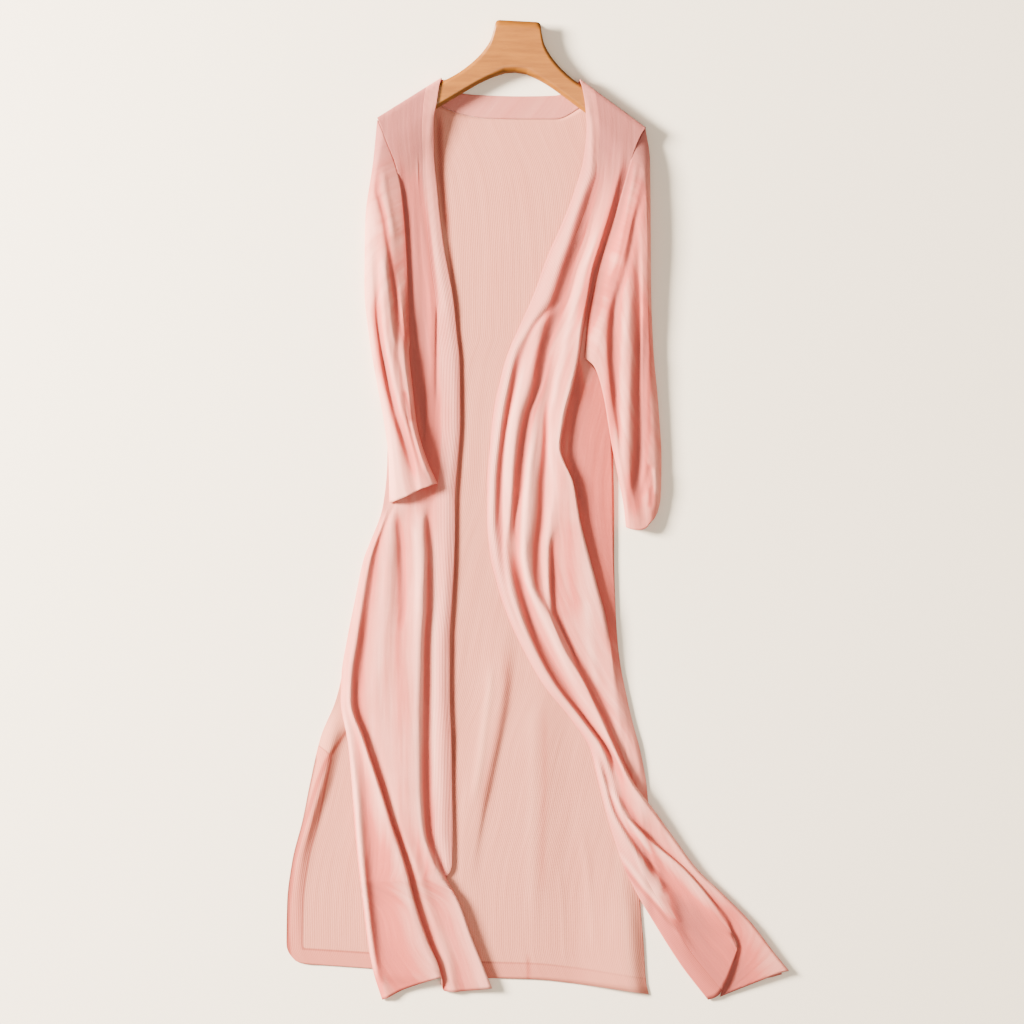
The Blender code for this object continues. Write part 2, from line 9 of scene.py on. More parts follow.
import bpy
import numpy as np
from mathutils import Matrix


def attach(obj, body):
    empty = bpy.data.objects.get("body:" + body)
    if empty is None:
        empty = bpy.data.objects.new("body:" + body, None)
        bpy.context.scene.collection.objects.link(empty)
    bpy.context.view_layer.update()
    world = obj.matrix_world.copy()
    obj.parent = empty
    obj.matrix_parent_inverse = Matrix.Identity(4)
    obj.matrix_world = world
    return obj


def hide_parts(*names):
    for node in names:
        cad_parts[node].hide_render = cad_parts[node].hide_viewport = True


MM = 0.001

# Cloth and seams
CLOTH = 1.5
BAND_WIDTH = 24.0
BAND_GAP = 0.1
SEAM_GAP = 0.3
EDGE_GAP = 0.1
HEM_BAND = 21.0

# Spacing of the knit's ribs. Real ones, of about 0.6 mm, are too fine to show, so these are coarser.
INSIDE_RIB = 2.4
WALE = 1.3
BAND_RIB = 2.0
COURSE_SHARE = 0.8

# Painted shade and highlight on the knit: how much of a fold's depth counts, its limits on crests
# (painted highlight) and in hollows (painted shade), the points on either side that depth is measured
# from, the tones at which the colour is palest and deepest, and how far the drape and the mottle shift it
HOLLOW_SHARE = 0.55
CREST_LIMIT = 1.4
HOLLOW_LIMIT = 0.9
FRONT_REACH = 6
SLEEVE_REACH = 4
CREST_TONE = -2.5
HOLLOW_TONE = 4.3
DRAPE_TONE = 0.45
MOTTLE_TONE = 0.14

# Cells of the soft patterns in each metre: drape marks 13 mm wide, which the stretch makes 150 mm
# long, fuzz of 2.4 mm, where real fuzz is too fine to show, and a mottle of 70 mm
DRAPE_CELLS = 75.0
DRAPE_STRETCH = 0.09
FUZZ_CELLS = 420.0
MOTTLE_CELLS = 14.0

# Rise of the patterns in the knit's surface, in metres
RIB_RISE = 0.0028
COURSE_RISE_SHARE = 0.4
DRAPE_RISE = 0.0016
FUZZ_RISE = 0.0002

# Painted shade over the shoulders, greyer: where it begins and where it is full, in metres up from the
# middle, and its colour
SHOULDER_SHADE_FROM = 0.37
SHOULDER_SHADE_FULL = 0.5
SHOULDER_SHADE = "985550"

# Grids: steps between named columns where a front is measured before its seam is cut, columns that
# its band takes up, points across the band, least distance past the seam for each further column,
# table rows where the cloth turns over the shoulder, steps to each of them, rows of the neck band,
# and columns that a sleeve's grid laps over itself
FINE_STEPS = 16
BAND_COLUMNS = 3
BAND_POINTS = 17
LEAST_COLUMN = 2.5
TURNED_ROWS = 4
TURN_STEPS = 7
NECK_ROWS = 14
SLEEVE_LAP = 2

# Share of a crease's length, and the part of a column, over which it fades
CREASE_FADE = 0.2
COLUMN_FADE = 0.4

# Distance from the slit and the hem that counts as far, in millimetres
FAR_FROM_EDGE = 90.0

# Where the layers change level, in millimetres: how far past the back's edge a front begins and ends
# its drop to the surface, how far inside that edge a sleeve's lower layer begins and ends its rise,
# and the stretch of y over which the left slit ends
DROP = (4.0, 18.0)
SLEEVE_RISE = (-17.0, -4.0)
SLIT_END = (-330.0, -270.0)

# Hanger: depth, edge radius, turn in degrees, stations to each arm, points to each corner and each
# flat side, shares of the last section's size at the tip, most of its width that one edge takes up,
# and where the middle of its head is
HANGER_DEPTH = 16.0
HANGER_EDGE = 3.5
HANGER_TURN = -3.0
HANGER_STATIONS = 90
HANGER_ARC = 5
HANGER_FLAT = 10
HANGER_TIP = (0.05, 0.6)
HANGER_EDGE_SHARE = 0.49
HEAD_TOP = (-25.0, 652.0)

# Heights of the cloth's middle surface over the surface that the garment lies on
ON_SURFACE = CLOTH / 2
ON_BACK = ON_SURFACE + CLOTH + 0.45
OVER_BODY = 6.4
HANGER_BASE = CLOTH + SEAM_GAP
LIFT_FULL = HANGER_BASE + HANGER_DEPTH + SEAM_GAP + CLOTH / 2 - ON_BACK + 0.3

# Photograph: a long lens looking straight down
VIEW_MIDDLE = (-33.3, 0.0)
VIEW_WIDTH = 1365.3
VIEW_HEIGHT = 4200.0

# Left front, from the opening edge to the armhole and side. Each entry is x/height over what the
# cloth lies on, and a third number is that point's own y where the row isn't straight.
LEFT_FRONT = """
y_edge y_side lift edge roll gutter ridge dip rise foot pleat trough lip side
577    524    0    -127/0 -134/0 -142/0 -150/0 -160/0 -170/0 -180/0 -188/0 -196/0 -204/0 -212/0
577    524    .5   -127/0 -134/0 -142/0 -150/0 -160/0 -170/0 -180/0 -188/0 -196/0 -204/0 -212/0
575.5  522.5  .9   -127/0 -134/0 -142/0 -150/0 -160/0 -170/0 -180/0 -188/0 -196/0 -204/0 -212/0
569    516    1    -129/0 -136/0 -144/0 -152/0 -161/0 -170/0 -179/0 -187/0 -195/0 -202/0 -209/0
545    492    1    -133/0 -140/0 -147/0 -154/0 -161/0 -168/0 -175/0 -182/0 -188/0 -194/0 -200/0
520    462    .82  -137/0 -143/1 -149/.5 -154/.5 -160/.5 -165/.5 -170/.5 -175/.5 -180/.5 -184/.5 -188/.5
480    425    .42  -137/.5 -143/1.5 -149/1 -154/1 -159/1 -163/1 -167/1 -171/1 -174/1 -177/1 -180/1
430    380    .2   -133/1 -140/2 -147/1.5 -152/1.5 -156/1.5 -160/1.5 -164/1.5 -167/1.5 -170/1.5 -173/1.5 \
                   -176/1.5
360    320    .06  -125/1.5 -133/3 -140/2 -146/2.5 -151/2 -156/1.5 -160/1.5 -164/1.5 -167/1.5 -170/1.5 \
                   -173/1.5
280    262    0    -111/2.5 -121/4 -133/2.2 -141/3 -148/2 -154/1.5 -159/1.5 -163/1.5 -166/1.5 -169/1.5 \
                   -172/1.5
240    236    0    -107/1.4 -117/3.1 -133/2 -141/3 -149/1.5 -155/1 -160/.8 -164/.6 -167/.5 -170/.4 -173/.3
200    195    0    -103/1.5 -114/3.5 -133/2 -141/2.5 -149/1 -156/.5 -163/.3 -170/.2 -176/.1 -181/.1 -186/0
120    115    0    -102/1.5 -112/3.5 -132/2 -141/2 -150/.8 -160/.3 -168/.2 -176/.1 -184/.1 -191/0 -198/0
60     55     0    -106/1.5 -116/3.5 -133/2 -143/1.5 -153/.5 -162/.3 -170/.2 -178/.1 -186/.1 -194/0 -200/0
16     10     0    -109/1.5 -120/3.5 -141/1.2 -153/1.5 -171/1 -184/1 -191/.5 -196/.4 -199/.2 -202/.1 -205/0
-15    -20    0    -109/1.5 -121/3.5 -144/.8 -154/6.4 -179/2.5 -194/5 -203/2 -207/3 -209/2 -211/1 -213/0
-60    -62    0    -110/1.8 -122/3.8 -142/.5 -152/8.8 -180/3 -196/7 -215/3 -222/6 -225/4.5 -228/2.5 -230/0
-120   -122   0    -113/1.8 -124/4.2 -142/.5 -153/9.6 -181/4 -200/7 -223/3 -233/7 -237/5 -240/2.5 -243/0
-170   -172   0    -116/1.8 -127/4.2 -146/.5 -156/9.6 -183/6 -205/7 -230/2.5 -241/8 -246/5.5 -250/2.5 -253/0
-215   -217   0    -116/1.8 -128/4.2 -147/.5 -157/9.6 -185/7 -208/7 -236/2 -248/8 -253/5.5 -257/2.5 -260/0
-245   -250   0    -116/1.8 -128/4.2 -147/.5 -158/9.6 -186/7.5 -212/6.5 -241/2 -249/9 -254/6.5 -258/4 -261/1
-300   -303   0    -114/1.8 -127/4.2 -147/.5 -159/9.6 -180/8 -205/6 -228/1.5 -232/11 -240/7 -247/6 -252/2
-360   -363   0    -113/1.8 -127/4.2 -147/.5 -158/9.6 -174/9 -192/7 -209/1.5 -212/12 -228/6 -240/8 -246/2
-420   -423   0    -112/1.8 -126/4.2 -145/.5 -153/9.6 -166/8 -178/7 -190/1.5 -193/12 -223/5 -236/9 -242/2
-470   -474   0    -113/2 -120/2.5 -128/.8 -137/8.8 -150/6 -160/7 -173/1.5 -177/12 -217/5 -231/9 -237/2
-520   -525   0    -140/.2 -124/.3 -106/1 -105/8.5 -134/5 -146/6 -161/1.5 -164/12 -211/4.5 -225/9 -231/2
-570   -578   0    -124/.2 -107/.3 -89/1 -87/8.5 -116/5 -127/6 -144/1.5 -147/11 -205/4 -218/8 -224/2
-605   -615   0    -110/.2 -94/.3 -76/1 -73/8 -104/4 -116/6 -131/1.5/-608 -134/11/-598 -198/4/-612 \
                   -210/7/-616 -216/1.5/-618
-630   -650   0    -96/.2/-630 -81/.3/-632 -63/1/-634 -60/7.5/-634 -97/3.5/-638 -111/5/-639 -124/1.5/-638 \
                   -128/10/-619 -180/3.5/-637 -197/5/-646 -206/1/-650
"""

# Right front, the same way. Its folds run from the shoulder to the opening, and the last pleat
# lies over the side of the body and, below the slit, folds under itself.
RIGHT_FRONT = """
y_edge y_side lift edge fold_a dip_a fold_b dip_b fold_c dip_c fold_d dip_d pleat foot strip side
575    511    0    57/0 64/0 71/0 78/0 85/0 92/0 99/0 107/0 114/0 121/0 128/0 136/0 144/0
575    511    .5   57/0 64/0 71/0 78/0 85/0 92/0 99/0 107/0 114/0 121/0 128/0 136/0 144/0
573.5  509.5  .9   57/0 64/0 71/0 78/0 85/0 92/0 99/0 107/0 114/0 121/0 128/0 136/0 144/0
567    504    1    59/0 66/0 73/0 80/0 86/0 93/0 100/0 107/0 113/0 120/0 126/0 133/0 140/0
540    480    1    64/0 70/1 76/.5 82/.5 87/.5 93/.5 98/.5 104/.5 109/.5 114/.5 119/.5 124/.5 129/.5
510    452    .8   66/.5 73/3 79/2 84/1.5 89/1.5 93/1.5 98/1.5 102/2 107/2.5 111/3 115/2 118/1 121/.5
470    422    .55  62/1 73/5 80/3 84/3 88/3 91/3.5 94/4 97/4.5 100/5 104/6 108/3 110/2 113/1
430    390    .38  51/1.5 62/6 70/3 74/2.5 78/2.5 82/3 85/4 88/5 91/6 95/7 99/3 101/1.5 104/.8
385    352    .24  34/2 48/7 60/3 64/2 68/2 71/3 74/4.5 77/6 80/7 83/8 88/2 90/1 92/.8
340    318    .14  14/2 32/8 44/4 50/2 54/2 58/3.5 62/5 66/7 69/8 72/9 77/2 79/1 82/.8
290    280    .07  -4/2 16/8 28/4.5 36/2.5 42/2 46/4 50/6 55/8 59/9 65/10 69/2 72/1 74/.8
245    240    .02  -24/2 -12/6 -6/5 4/8 22/3 30/3.5 36/5 42/7 48/9 57/12 61/2 64/1 67/.8
215    212    0    -37/2 -27/6 -18/3.5 -1/9 14/3 22/3.5 27/5 33/7 40/10 54/13 57/2 60/1 64/.5
170    165    0    -50/2 -39/7 -29/3 -13/10 4/4 9/5 18/4.5 26/8 32/10 44/14 49/1.5 68/2.5 96/0
130    125    0    -58/2 -47/7 -38/3 -25/10 -12/4 -4/6 12/4 19/8 24/10 34/14 40/1.5 64/3.5 100/0
90     85     0    -62/2 -52/7 -43/3 -31/10 -18/4 -6/7 12/3.5 17/8 20/11 29/14 33/1.5 60/3.5 101/0
40     36     0    -66/2 -57/7 -46/3 -34/10 -21/4 -8/9 10/3 24/9 32/11 48/13 45/1.5 68/3 102/0
-10    -13    0    -66/2 -58/6 -46/3 -37/8 -29/4 -11/10 7/3 19/8 30/8 57/12 53/1.5 76/3 102/0
-50    -52    0    -63/2 -54/5 -47/4 -40/6 -28/3 -15/10 3/3 14/7 22/3 67/11 63/1.5 82/2.5 102/0
-95    -96    0    -53/2 -46/5 -41/6 -35/8 -19/2 -8/9 7/4 15/7 24/1.5 79/10 76/1.5 90/2 103/0
-140   -141   0    -38/2 -31/6 -27/7 -22/9 -8/2 16/10 20/8 24/5 30/1.5 91/9 89/2 97/1.5 105/0
-185   -186   0    -17/2 -11/6 -7/8 -2/9 13/1.5 36/10 40/8 44/5 50/1.5 98/7 100/4 104/2 108/0
-230   -231   0    9/2 15/6 19/8 24/9 38/1.5 63/10 67/8 70/5 76/1.5 102/6 108/4 112/2 116/0
-275   -276   0    45/2 50/5 54/7 58/8 66/2 84/10 88/8 91/5 97/1.5 110/5 117/4 122/2 126/0
-315   -317   0    71/2 76/5 80/7 86/9 93/3 103/11 107/8 109/4.5 111/1.5 117/1.5 123/3 130/3 137/.2
-355   -358   0    81/2 88/6 93/4 100/6 108/5 122/12 126/8 123/4.2 119/1.6 124/.5 131/1.5 138/1.5 145/.2
-395   -398   0    91/2 99/6 104/4 112/8 120/5.5 151/12 156/7.5 145/4 131/1.6 135/.3 140/.2 145/.2 150/.2
-435   -437   0    103/2 120/8 128/4 148/11 154/5 180/9.5 184/6 173/3.6 160/1.6 163/.3 167/.2 171/.2 175/.2
-475   -475   0    117/2 145/9 156/2.5 193/11 198/7 208/9 212/6 204/3.4 190/1.6 193/.3 197/.2 201/.2 205/.2
-515   -512   0    137/2 169/8 188/2.5 226/11 231/7 246/8.5 250/5.6 241/3.2 226/1.6 229/.3 234/.2 239/.2 \
                   243/.2
-555   -548   0    161/2 186/6 198/3 252/10 259/6.5 281/8.5 285/5.4 275/3.2 258/1.6 262/.3 268/.2 274/.2 \
                   279/.2
-605   -590   0    193/2/-605 208/3.5/-603 219/4/-598 263/9.5/-566 262/3.6/-600 312/8/-588 316/5.2/-588 \
                   304/3.1/-591 286/1.6/-598 290/.3/-599 296/.2/-598 303/.2/-596 310/.2/-594
-650   -616   0    228/1.5/-650 240/4/-645 251/6.2/-628 268/8.2/-578 244/1.1/-646 331/7/-611 335/4.8/-611 \
                   324/3/-614 303/1.6/-620 307/.3/-621 313/.2/-620 320/.2/-618 327/.2/-616
"""

# Back, from its left edge to its right. The first row is the shoulders and the lower edge of the
# neck band, and heights are those of its soft creases and curled slit edges.
BACK = """
y    left    curl     inner  panel  crease_a middle crease_b flat ridge   right
0    -212/0/522 -149/0/559 -127/0/541 -100/0/530 -66/0/524.3 -20/0/523.2 25/0/523.2 56/0/537 79/0/552 \
     144/0/507
500  -203/0  -151/0   -125/0 -98/0  -66/0    -20/0  25/0     52/0 84/0    138/0
455  -185/0  -150/0   -120/0 -96/0  -66/0    -20/0  25/0     52/0 84/0    121/0
400  -177/0  -150/0   -118/0 -94/0  -66/0    -20/0  25/0     50/0 80/0    109/0
330  -173/0  -150/0   -118/0 -94/0  -66/0    -20/0  25/0     50/0 78/0    104/0
260  -172/0  -150/0   -118/0 -94/0  -64/0    -20/0  22/0     50/0 78/0    102/0
236  -173/0  -150/0   -118/0 -94/0  -64/0    -20/0  20/0     50/0 78/0    101.5/0
195  -186/0  -155/0   -120/0 -94/0  -62/0    -20/0  18/0     50/0 78/0    101/0
115  -198/0  -160/0   -124/0 -94/0  -60/0    -20/0  16/0     48/0 76/0    101.5/0
55   -200/0  -165/0   -128/0 -94/0  -56/0    -20/0  14/0     46/0 76/0    102/0
10   -205/0  -172/0   -134/0 -94/0  -52/0    -20/0  13/0     46/0 76/0    103/0
-62  -230/0  -190/0   -144/0 -94/0  -48/0    -18/0  11/0     46/0 78/0    103/0
-122 -243/0  -205/0   -154/0 -94/0  -46/0    -16/0  10/0     46/0 80/0    104.5/0
-172 -253/0  -215/0   -160/0 -94/0  -45/1.2  -22/0  8/0      46/0 80/0    107.5/0
-217 -260/0  -225/0   -168/0 -94/0  -46/3    -28/.4 5/1      46/0 84/0    113.5/0
-250 -268/0  -252/0   -176/0 -96/0  -49/3.6  -32/.4 4/1.8    46/0 88/0    120.5/0
-300 -288/.5 -272/5   -250/0 -110/0 -57/3.6  -42/.4 3/2.2    46/0 94/0    129/0
-360 -302/.5 -287/6   -270/0 -140/0 -70/3.4  -54/.4 1/2.2    46/0 98/.2   133/0
-410 -312/.5 -301/5   -286/0 -150/0 -79/2.4  -66/.2 0/2      46/0 100/.3  134.5/0
-465 -326/.5 -315/3   -296/0 -150/0 -88/.8   -72/0  -1/1.6   46/0 105/1.2 135.5/0
-520 -333/.3 -321/1.5 -300/0 -150/0 -92/0    -72/0  -2/1     46/0 113/4   137.5/0
-575 -334/0  -318/.6  -300/0 -150/0 -92/0    -72/0  -3/.5    46/0 119/6   142/0
-600 -322/0/-598 -308/.4/-600 -290/0/-602 -150/0/-612 -92/0/-617 -72/0/-618 -3/.3/-618 46/0/-621 \
     123/6/-628 145.5/0/-628
-640 -316/0/-601 -304/.2/-603 -286/0/-604 -150/0/-614 -92/0/-620 -72/0/-621 -3/.2/-623 46/0/-628 \
     127/6/-639 149/0/-643
"""

# Sleeves, from the armhole down. Each ring goes over the top from the inner fold to the outer one,
# as x/height over the surface, with y from the inner to the outer fold unless an entry has its own.
LEFT_SLEEVE = """
y_inner y_outer inner       crest_a   dip_a     crest_b   dip_b     crest_c   head      outer
224     521     -170/7/224 -171.6/8/275 -172.6/8/325 -175.6/10/385 -180.6/13/432 -188.8/16/464 -203/19/500 \
                -212/10/521
214     470     -171/9/214 -178/14/262 -185/12.5/312 -197/17/372 -204/17/410 -208/17.5/430 -213/17/450 \
                -217/9/470
205     385     -170.5/10   -178/17   -187/14   -203/19   -212/15.5 -218/14   -223/12   -228/6
185     300     -168.5/10.5 -177/19   -185/17.5 -200/20.5 -212/12.5 -217/14   -222/12.5 -229/6
155     235     -165/11     -172/20   -178/19.5 -191/21.5 -206/12.5 -211/14.5 -216/12.5 -223/6
120     175     -161/11.5   -168/20.5 -173/20   -180/21.5 -194/14.5 -201/17   -207/14   -213/6.5
90      120     -154/11.5   -160/20.5 -164/20   -169/21   -180/15.5 -188/17.5 -196/14.5 -203/7
62      70      -144/11.5   -150/20   -155/19.5 -160/20   -170/15.5 -180/17   -190/15   -197/7
38      12      -133/11/38 -139/17/36 -146/18.5/33 -153/18.5/31 -161/16/27 -172/16.5/21 -185/14.5/16 -196/6/12
"""

RIGHT_SLEEVE = """
y_inner y_outer inner   crest_a  dip_a    crest_b  dip_b    crest_c  head     outer
205     510     64/7.5/205 67.6/8/250 75.6/8/292 89/9/345 103.4/11/391 118/17/443 128.6/19/480 143.6/10/510
195     470     76/9.5/195 86/16/238 100/14/285 116/21/345 127/21/390 135/21.5/420 142/20.5/445 149.5/10.5/470
150     380     90/9.5  96/16    105/12   122/21   134/18   140/20.5 146/20   150.5/10
120     300     95/9.5  100/15.5 107/11.5 122/20   136/15   141/18   147/17   151/9
90      220     100/9.5 105/15   110/12.5 121/19.5 135/13.5 141/16.5 148/15.5 154/8
60      140     106/9.5 110/15   113/15.5 121/19   136/13   143/15   152/14   161/7
35      70      111/9.5 115/15   118/16   123/17.5 136/12.5 145/14.5 155/13.5 165/6.5
8       20      116/9   120/14.5 124/15   129/15   139/12.5 148/14   156/13   164/6.5
-20     0       119/8/-20 123/12/-22 129/13/-23.5 136/13/-24 144/12.5/-22 150/12/-15 156/10/-8 160/6.5/0
"""

# Upper edge of the neck band: a row of x and a row of y, at eight of the back's named points
NECK_BAND_TOP = """
curl  inner panel crease_a middle crease_b flat ridge
-127  -113  -94   -64      -20    23       43   57
577   562   557   555      554    555      562  574.5
"""

# Stations of the hanger from the middle of its head to an arm's tip: upper edge, then lower edge
HANGER = """
upper_x upper_y lower_x lower_y
0       0       0       -67
12      0       7       -67.5
24      0       14      -68.5
29.5    -2.5    18      -70
31.5    -12     21      -71
35      -26     26      -73
44      -42     34      -76.5
58      -58     47      -83.5
76      -73     62      -93
95      -85     80      -105
125     -105    108     -123.5
150     -121    135     -141
161     -129    150     -149
167     -136    160     -150.5
169     -141    166     -148.5
"""

# Small creases: height and width in millimetres, how much painted shade the knit shows there
# (painted highlight where it is negative; rows of height 0 are only painted shade or highlight), the
# columns that the crease touches, and the points that it runs through
BACK_CREASES = """
height width tone first last points
0.5    5     0    0     9    -150/-180 -158/-260 -160/-360 -158/-470
1.0    5     -.8  0     9    -60/-190 -63/-240 -69/-280 -75/-330 -86/-400
0      6     1.6  0     9    -41/-170 -40/-230 -44/-262 -51/-290 -58/-325 -68/-375 -74/-420
0      5     1.2  0     9    9/-240 10/-300 10/-360 8/-430 6/-520
0.6    8     -.4  0     9    -4/-240 -4/-340 -6/-440 -6/-560
-0.5   4     0    0     9    -100/-330 -104/-420 -108/-520
0.6    5     0    0     9    60/-420 70/-500 76/-590
0.4    4     0    0     9    30/-470 34/-540 38/-610
0      5     3    0     9    -130/545 -130/500 -128/450 -122/400 -118/360
0      3.5   3    0     9    -123/420 -117/360 -112/310 -105/250 -100/200 -99/120 -103/55 -106/-10 -109/-100
0      3.5   3    0     9    -106/0 -109/-100 -112/-170 -113/-230 -111/-300 -109/-400 -108/-480
0      3     5    0     2    -236/-250 -250/-285 -259/-299 -268/-312 -281/-332 -292/-360 -303/-395 \
                               -310/-416 -324/-465 -331/-520 -333/-560 -331/-590 -331/-660
-0.2   2     3    0     9    -11/-585 -11/-600 -11/-632 -11/-660
0      5     -.9  0     9    104/-400 108/-450 113/-510 120/-570 127/-630 130/-690
0      6     1.4  0     9    134/-420 136/-465 138/-520 142/-575 146/-628 149/-720
"""

LEFT_CREASES = """
height width tone first last points
0.8    4     0    3     10   -156/-60 -158/-180 -160/-300
-1.0   6     2.2  4     10   -181/490 -177/430 -172/390 -168/320 -164/250 -160/200 -153/150 -145/100 -136/50
0      10    1.6  3     10   -160/480 -158/400 -156/349 -154/300 -153/240 -150/170
0      24    2.2  2     10   -168/460 -164/390 -160/320 -158/250 -153/180 -146/120 -138/60 -134/-20
1.2    5     -1   4     9    -160/480 -150/420 -143/350 -140/290
-1.3   1.8   2    2     3    -133/285 -133.5/240 -134/200 -134/140
-1.2   4     1.4  4     7    -188/10 -182/-40 -180/-70 -178/-100 -178/-130 -182/-165
0      8     .7   6     10   -205/-5 -210/-50 -219/-85 -227/-112 -230/-137 -235/-160 -240/-190 -243/-220 \
                               -238/-245 -231/-270
0.8    4     -1   3     6    -164/-10 -158/-40 -156/-80 -156/-110 -158/-145
0      4     .8   6     10   -250/-240 -243/-265 -236/-288 -228/-310 -219/-335 -208/-370 -196/-410 -182/-455
0      45    .9   0     10   -205/-380 -195/-480 -182/-560 -170/-620 -160/-740
-0.8   5     1.4  6     10   -226/-440 -224/-482 -218/-540 -211/-602 -205/-660
0.5    4     -.9  6     10   -240/-340 -238/-375 -234/-457 -228/-520 -221/-581 -214/-640
0      4     -1.3 1     9    -138/0 -137/-60 -137/-150 -138/-300 -136/-400
0.9    6     -.8  7     10   -258/-260 -252/-300 -246/-350 -240/-400
"""

RIGHT_CREASES = """
height width tone first last points
-1.4   4     1.2  1     6    -18/240 -25/215 -30/190 -35/160 -40/130 -45/105 -49/75 -51/40 -52/0 -52/-30 \
                               -48/-52
1.2    3.5   -.8  1     6    -13/220 -20/185 -27/150 -34/120 -38/95 -41/60 -43/20 -42/-10 -40/-45
-1.8   7     2    1     9    90/475 76/440 62/400 50/355 38/320 29/290 22/260 14/235 7/215 4/195 3/175 \
                               -3/150 -9/130 -14/110 -19/85 -24/60 -27/30 -29/0 -31/-40
0      13    1.1  1     9    90/475 76/440 62/400 50/355 38/320 29/290 22/260 14/235 7/215 4/195 0/170 \
                               -6/130
1.0    5     -1   5     9    88/400 72/352 63/325 56/300 50/280 44/250 38/230 33/200 27/175 24/150 22/110
-1.4   4     1.2  3     9    13/165 12/130 12/100 10/70 6/40 4/0 0/-40 -2/-80 1/-102 9/-120 18/-136 26/-150
1.2    4     -1   2     9    0/140 -3/100 -8/70 -12/40 -15/0 -17/-30 -17/-60 -13/-90 -5/-110 5/-132 \
                               16/-155 29/-182 45/-215 62/-245 75/-268
-1.6   4.5   2.4  2     9    -34/-40 -28/-80 -22/-105 -14/-130 -8/-150 -2/-170 6/-190 16/-210 29/-232 \
                               41/-248 56/-266 71/-285 86/-305 98/-322 112/-347 128/-378
-1.6   3     1.6  3     10   18/-25 19/-80 20/-110 23/-135 33/-155 45/-180 55/-205 65/-225 78/-252 \
                               90/-275 100/-300 111/-325 126/-352 140/-385
0      9     2.6  7     12   122/475 107/410 93/373 84/345 75/317 66/280 58/240
0      8     .8   6     9    48/0 48/-60 50/-110 55/-150
0.8    5     -.8  6     9    66/-110 68/-150 74/-200 84/-240
0      5     2.4  10    12   57/206 55/170 52/140 49/110 48/80 51/50 58/20 64/-10
0      6     2.4  2     12   126/-430 136/-448 147/-469 156/-492
0      9     1.6  2     12   170/-500 180/-512 188/-524 196/-545 204/-560
0      50    2.6  0     12   196/-500 222/-565 246/-615 285/-700
1.4    4.2   -1   0     12   88/-350 101/-375 118/-401 134/-424 147/-444 155/-457 160/-474 162/-492 161/-520
0      3.2   1.7  0     12   106/-370 118/-391 130/-409 143/-428 154/-451 163/-474 168/-497 168/-525
1.2    4.2   -1   0     12   104/-445 120/-466 140/-491 159/-515 184/-540 206/-560
0      3.2   1.7  0     12   108/-462 122/-482 143/-507 160/-527 176/-546 196/-566
0      30    1.3  9     12   84/240 82/150 82/60 84/0 88/-80 96/-160 104/-240
0      10    1.2  10    12   66/190 64/150 60/110 60/60 68/10 78/-40 88/-90
"""

LEFT_SLEEVE_CREASES = """
height width tone first last points
-1.8   4     1.8  .5    6.6  -213/470 -212/425 -203/392 -197/350 -192/315 -187/285 -182/255 -177/225 \
                               -171/195
1.2    4     -.6  .5    6.6  -205/460 -202/430 -194/385 -189/355
1.4    4     -.6  .5    6.6  -206/350 -203/325 -199/300 -195/270 -192/240 -187/205
-2.2   5.5   2    .5    6.6  -218/290 -214/255 -210/225 -204/200 -199/165 -191/130 -182/108 -172/84 \
                               -165/60 -156/30
0      9     1    .5    6.6  -220/310 -213/250 -204/200 -196/165 -184/130 -170/95 -156/40
-1.0   3     1.4  .5    6.6  -176/165 -170/140 -166/115
0      5     2.4  0     6.6  -180/445 -174/400 -171/340 -170/280 -170/215
1.0    4     0    .5    6.6  -165/110 -155/80 -146/50
0      13    -2.4 .5    7.4  -219/200 -211/150 -202/100 -194/60 -186/20 -182/-10
0      8     -1.6 .5    7.4  -222/420 -224/340 -224/280 -221/230 -216/180
"""

RIGHT_SLEEVE_CREASES = """
height width tone first last points
0      6     3    0     6.6  130/480 119/440 110/400 100/370 92/350 87/330 82/300 78/270 70/245 64/215
-2.8   5     1.8  .5    6.6  144/450 137/410 130/385 126/360 121/335 115/310 108/290 103/270 99/240 \
                               98/200 101/160 104/95
0      24    .7   .5    6.6  132/500 128/380 124/300 122/200 130/80 142/0 146/-60
0      8     1.2  .5    6.6  124/430 112/360 106/330 103/290 99/250 97/200 97/150 99/100 102/60
0      7     1    .5    6.6  144/320 142/240 141/180 141/120 139/80 134/40 126/-20
1.8    3.5   -.8  .5    6.6  134/475 128/440 121/410 115/380 109/350 102/325 94/300
1.6    5     -.6  .5    6.6  120/295 118/260 116/230 114/200 113/160 114/120 114/80 115/25
-2.0   8     1.6  .5    6.6  146/275 143/240 142/220 141/180 141/150 141/120 139/90 136/70 132/50 128/20 \
                               125/-18
1.0    4     0    .5    6.6  147/215 146/150 146/90
-0.8   4     1.2  .5    6.6  150/66 147/50 143/35 139/18
1.2    3     -.4  .5    6.6  156/60 158/40 158/20
-0.5   3     1.2  .5    6.6  152/36 152/20 149/4
"""


def read_table(text):
    """Column names, and each row's entries as lists of numbers."""
    lines = [line.split() for line in text.strip().splitlines()]
    return lines[0], [[[float(n) for n in entry.split("/")] for entry in line] for line in lines[1:]]


def column_slopes(knots, values):
    """Slopes of a curve through each column of values that never overshoots a crest or a valley."""
    steps = np.diff(knots)[:, None]
    rises = np.diff(values, axis=0) / steps
    slopes = np.zeros_like(values)
    before = rises[:-1]
    after = rises[1:]
    w_before = 2 * steps[1:] + steps[:-1]
    w_after = steps[1:] + 2 * steps[:-1]
    same_way = before * after > 0
    safe_before = np.where(same_way, before, 1.0)
    safe_after = np.where(same_way, after, 1.0)
    mean = (w_before + w_after) / (w_before / safe_before + w_after / safe_after)
    slopes[1:-1] = np.where(same_way, mean, 0.0)
    slopes[0] = rises[0]
    slopes[-1] = rises[-1]
    return slopes


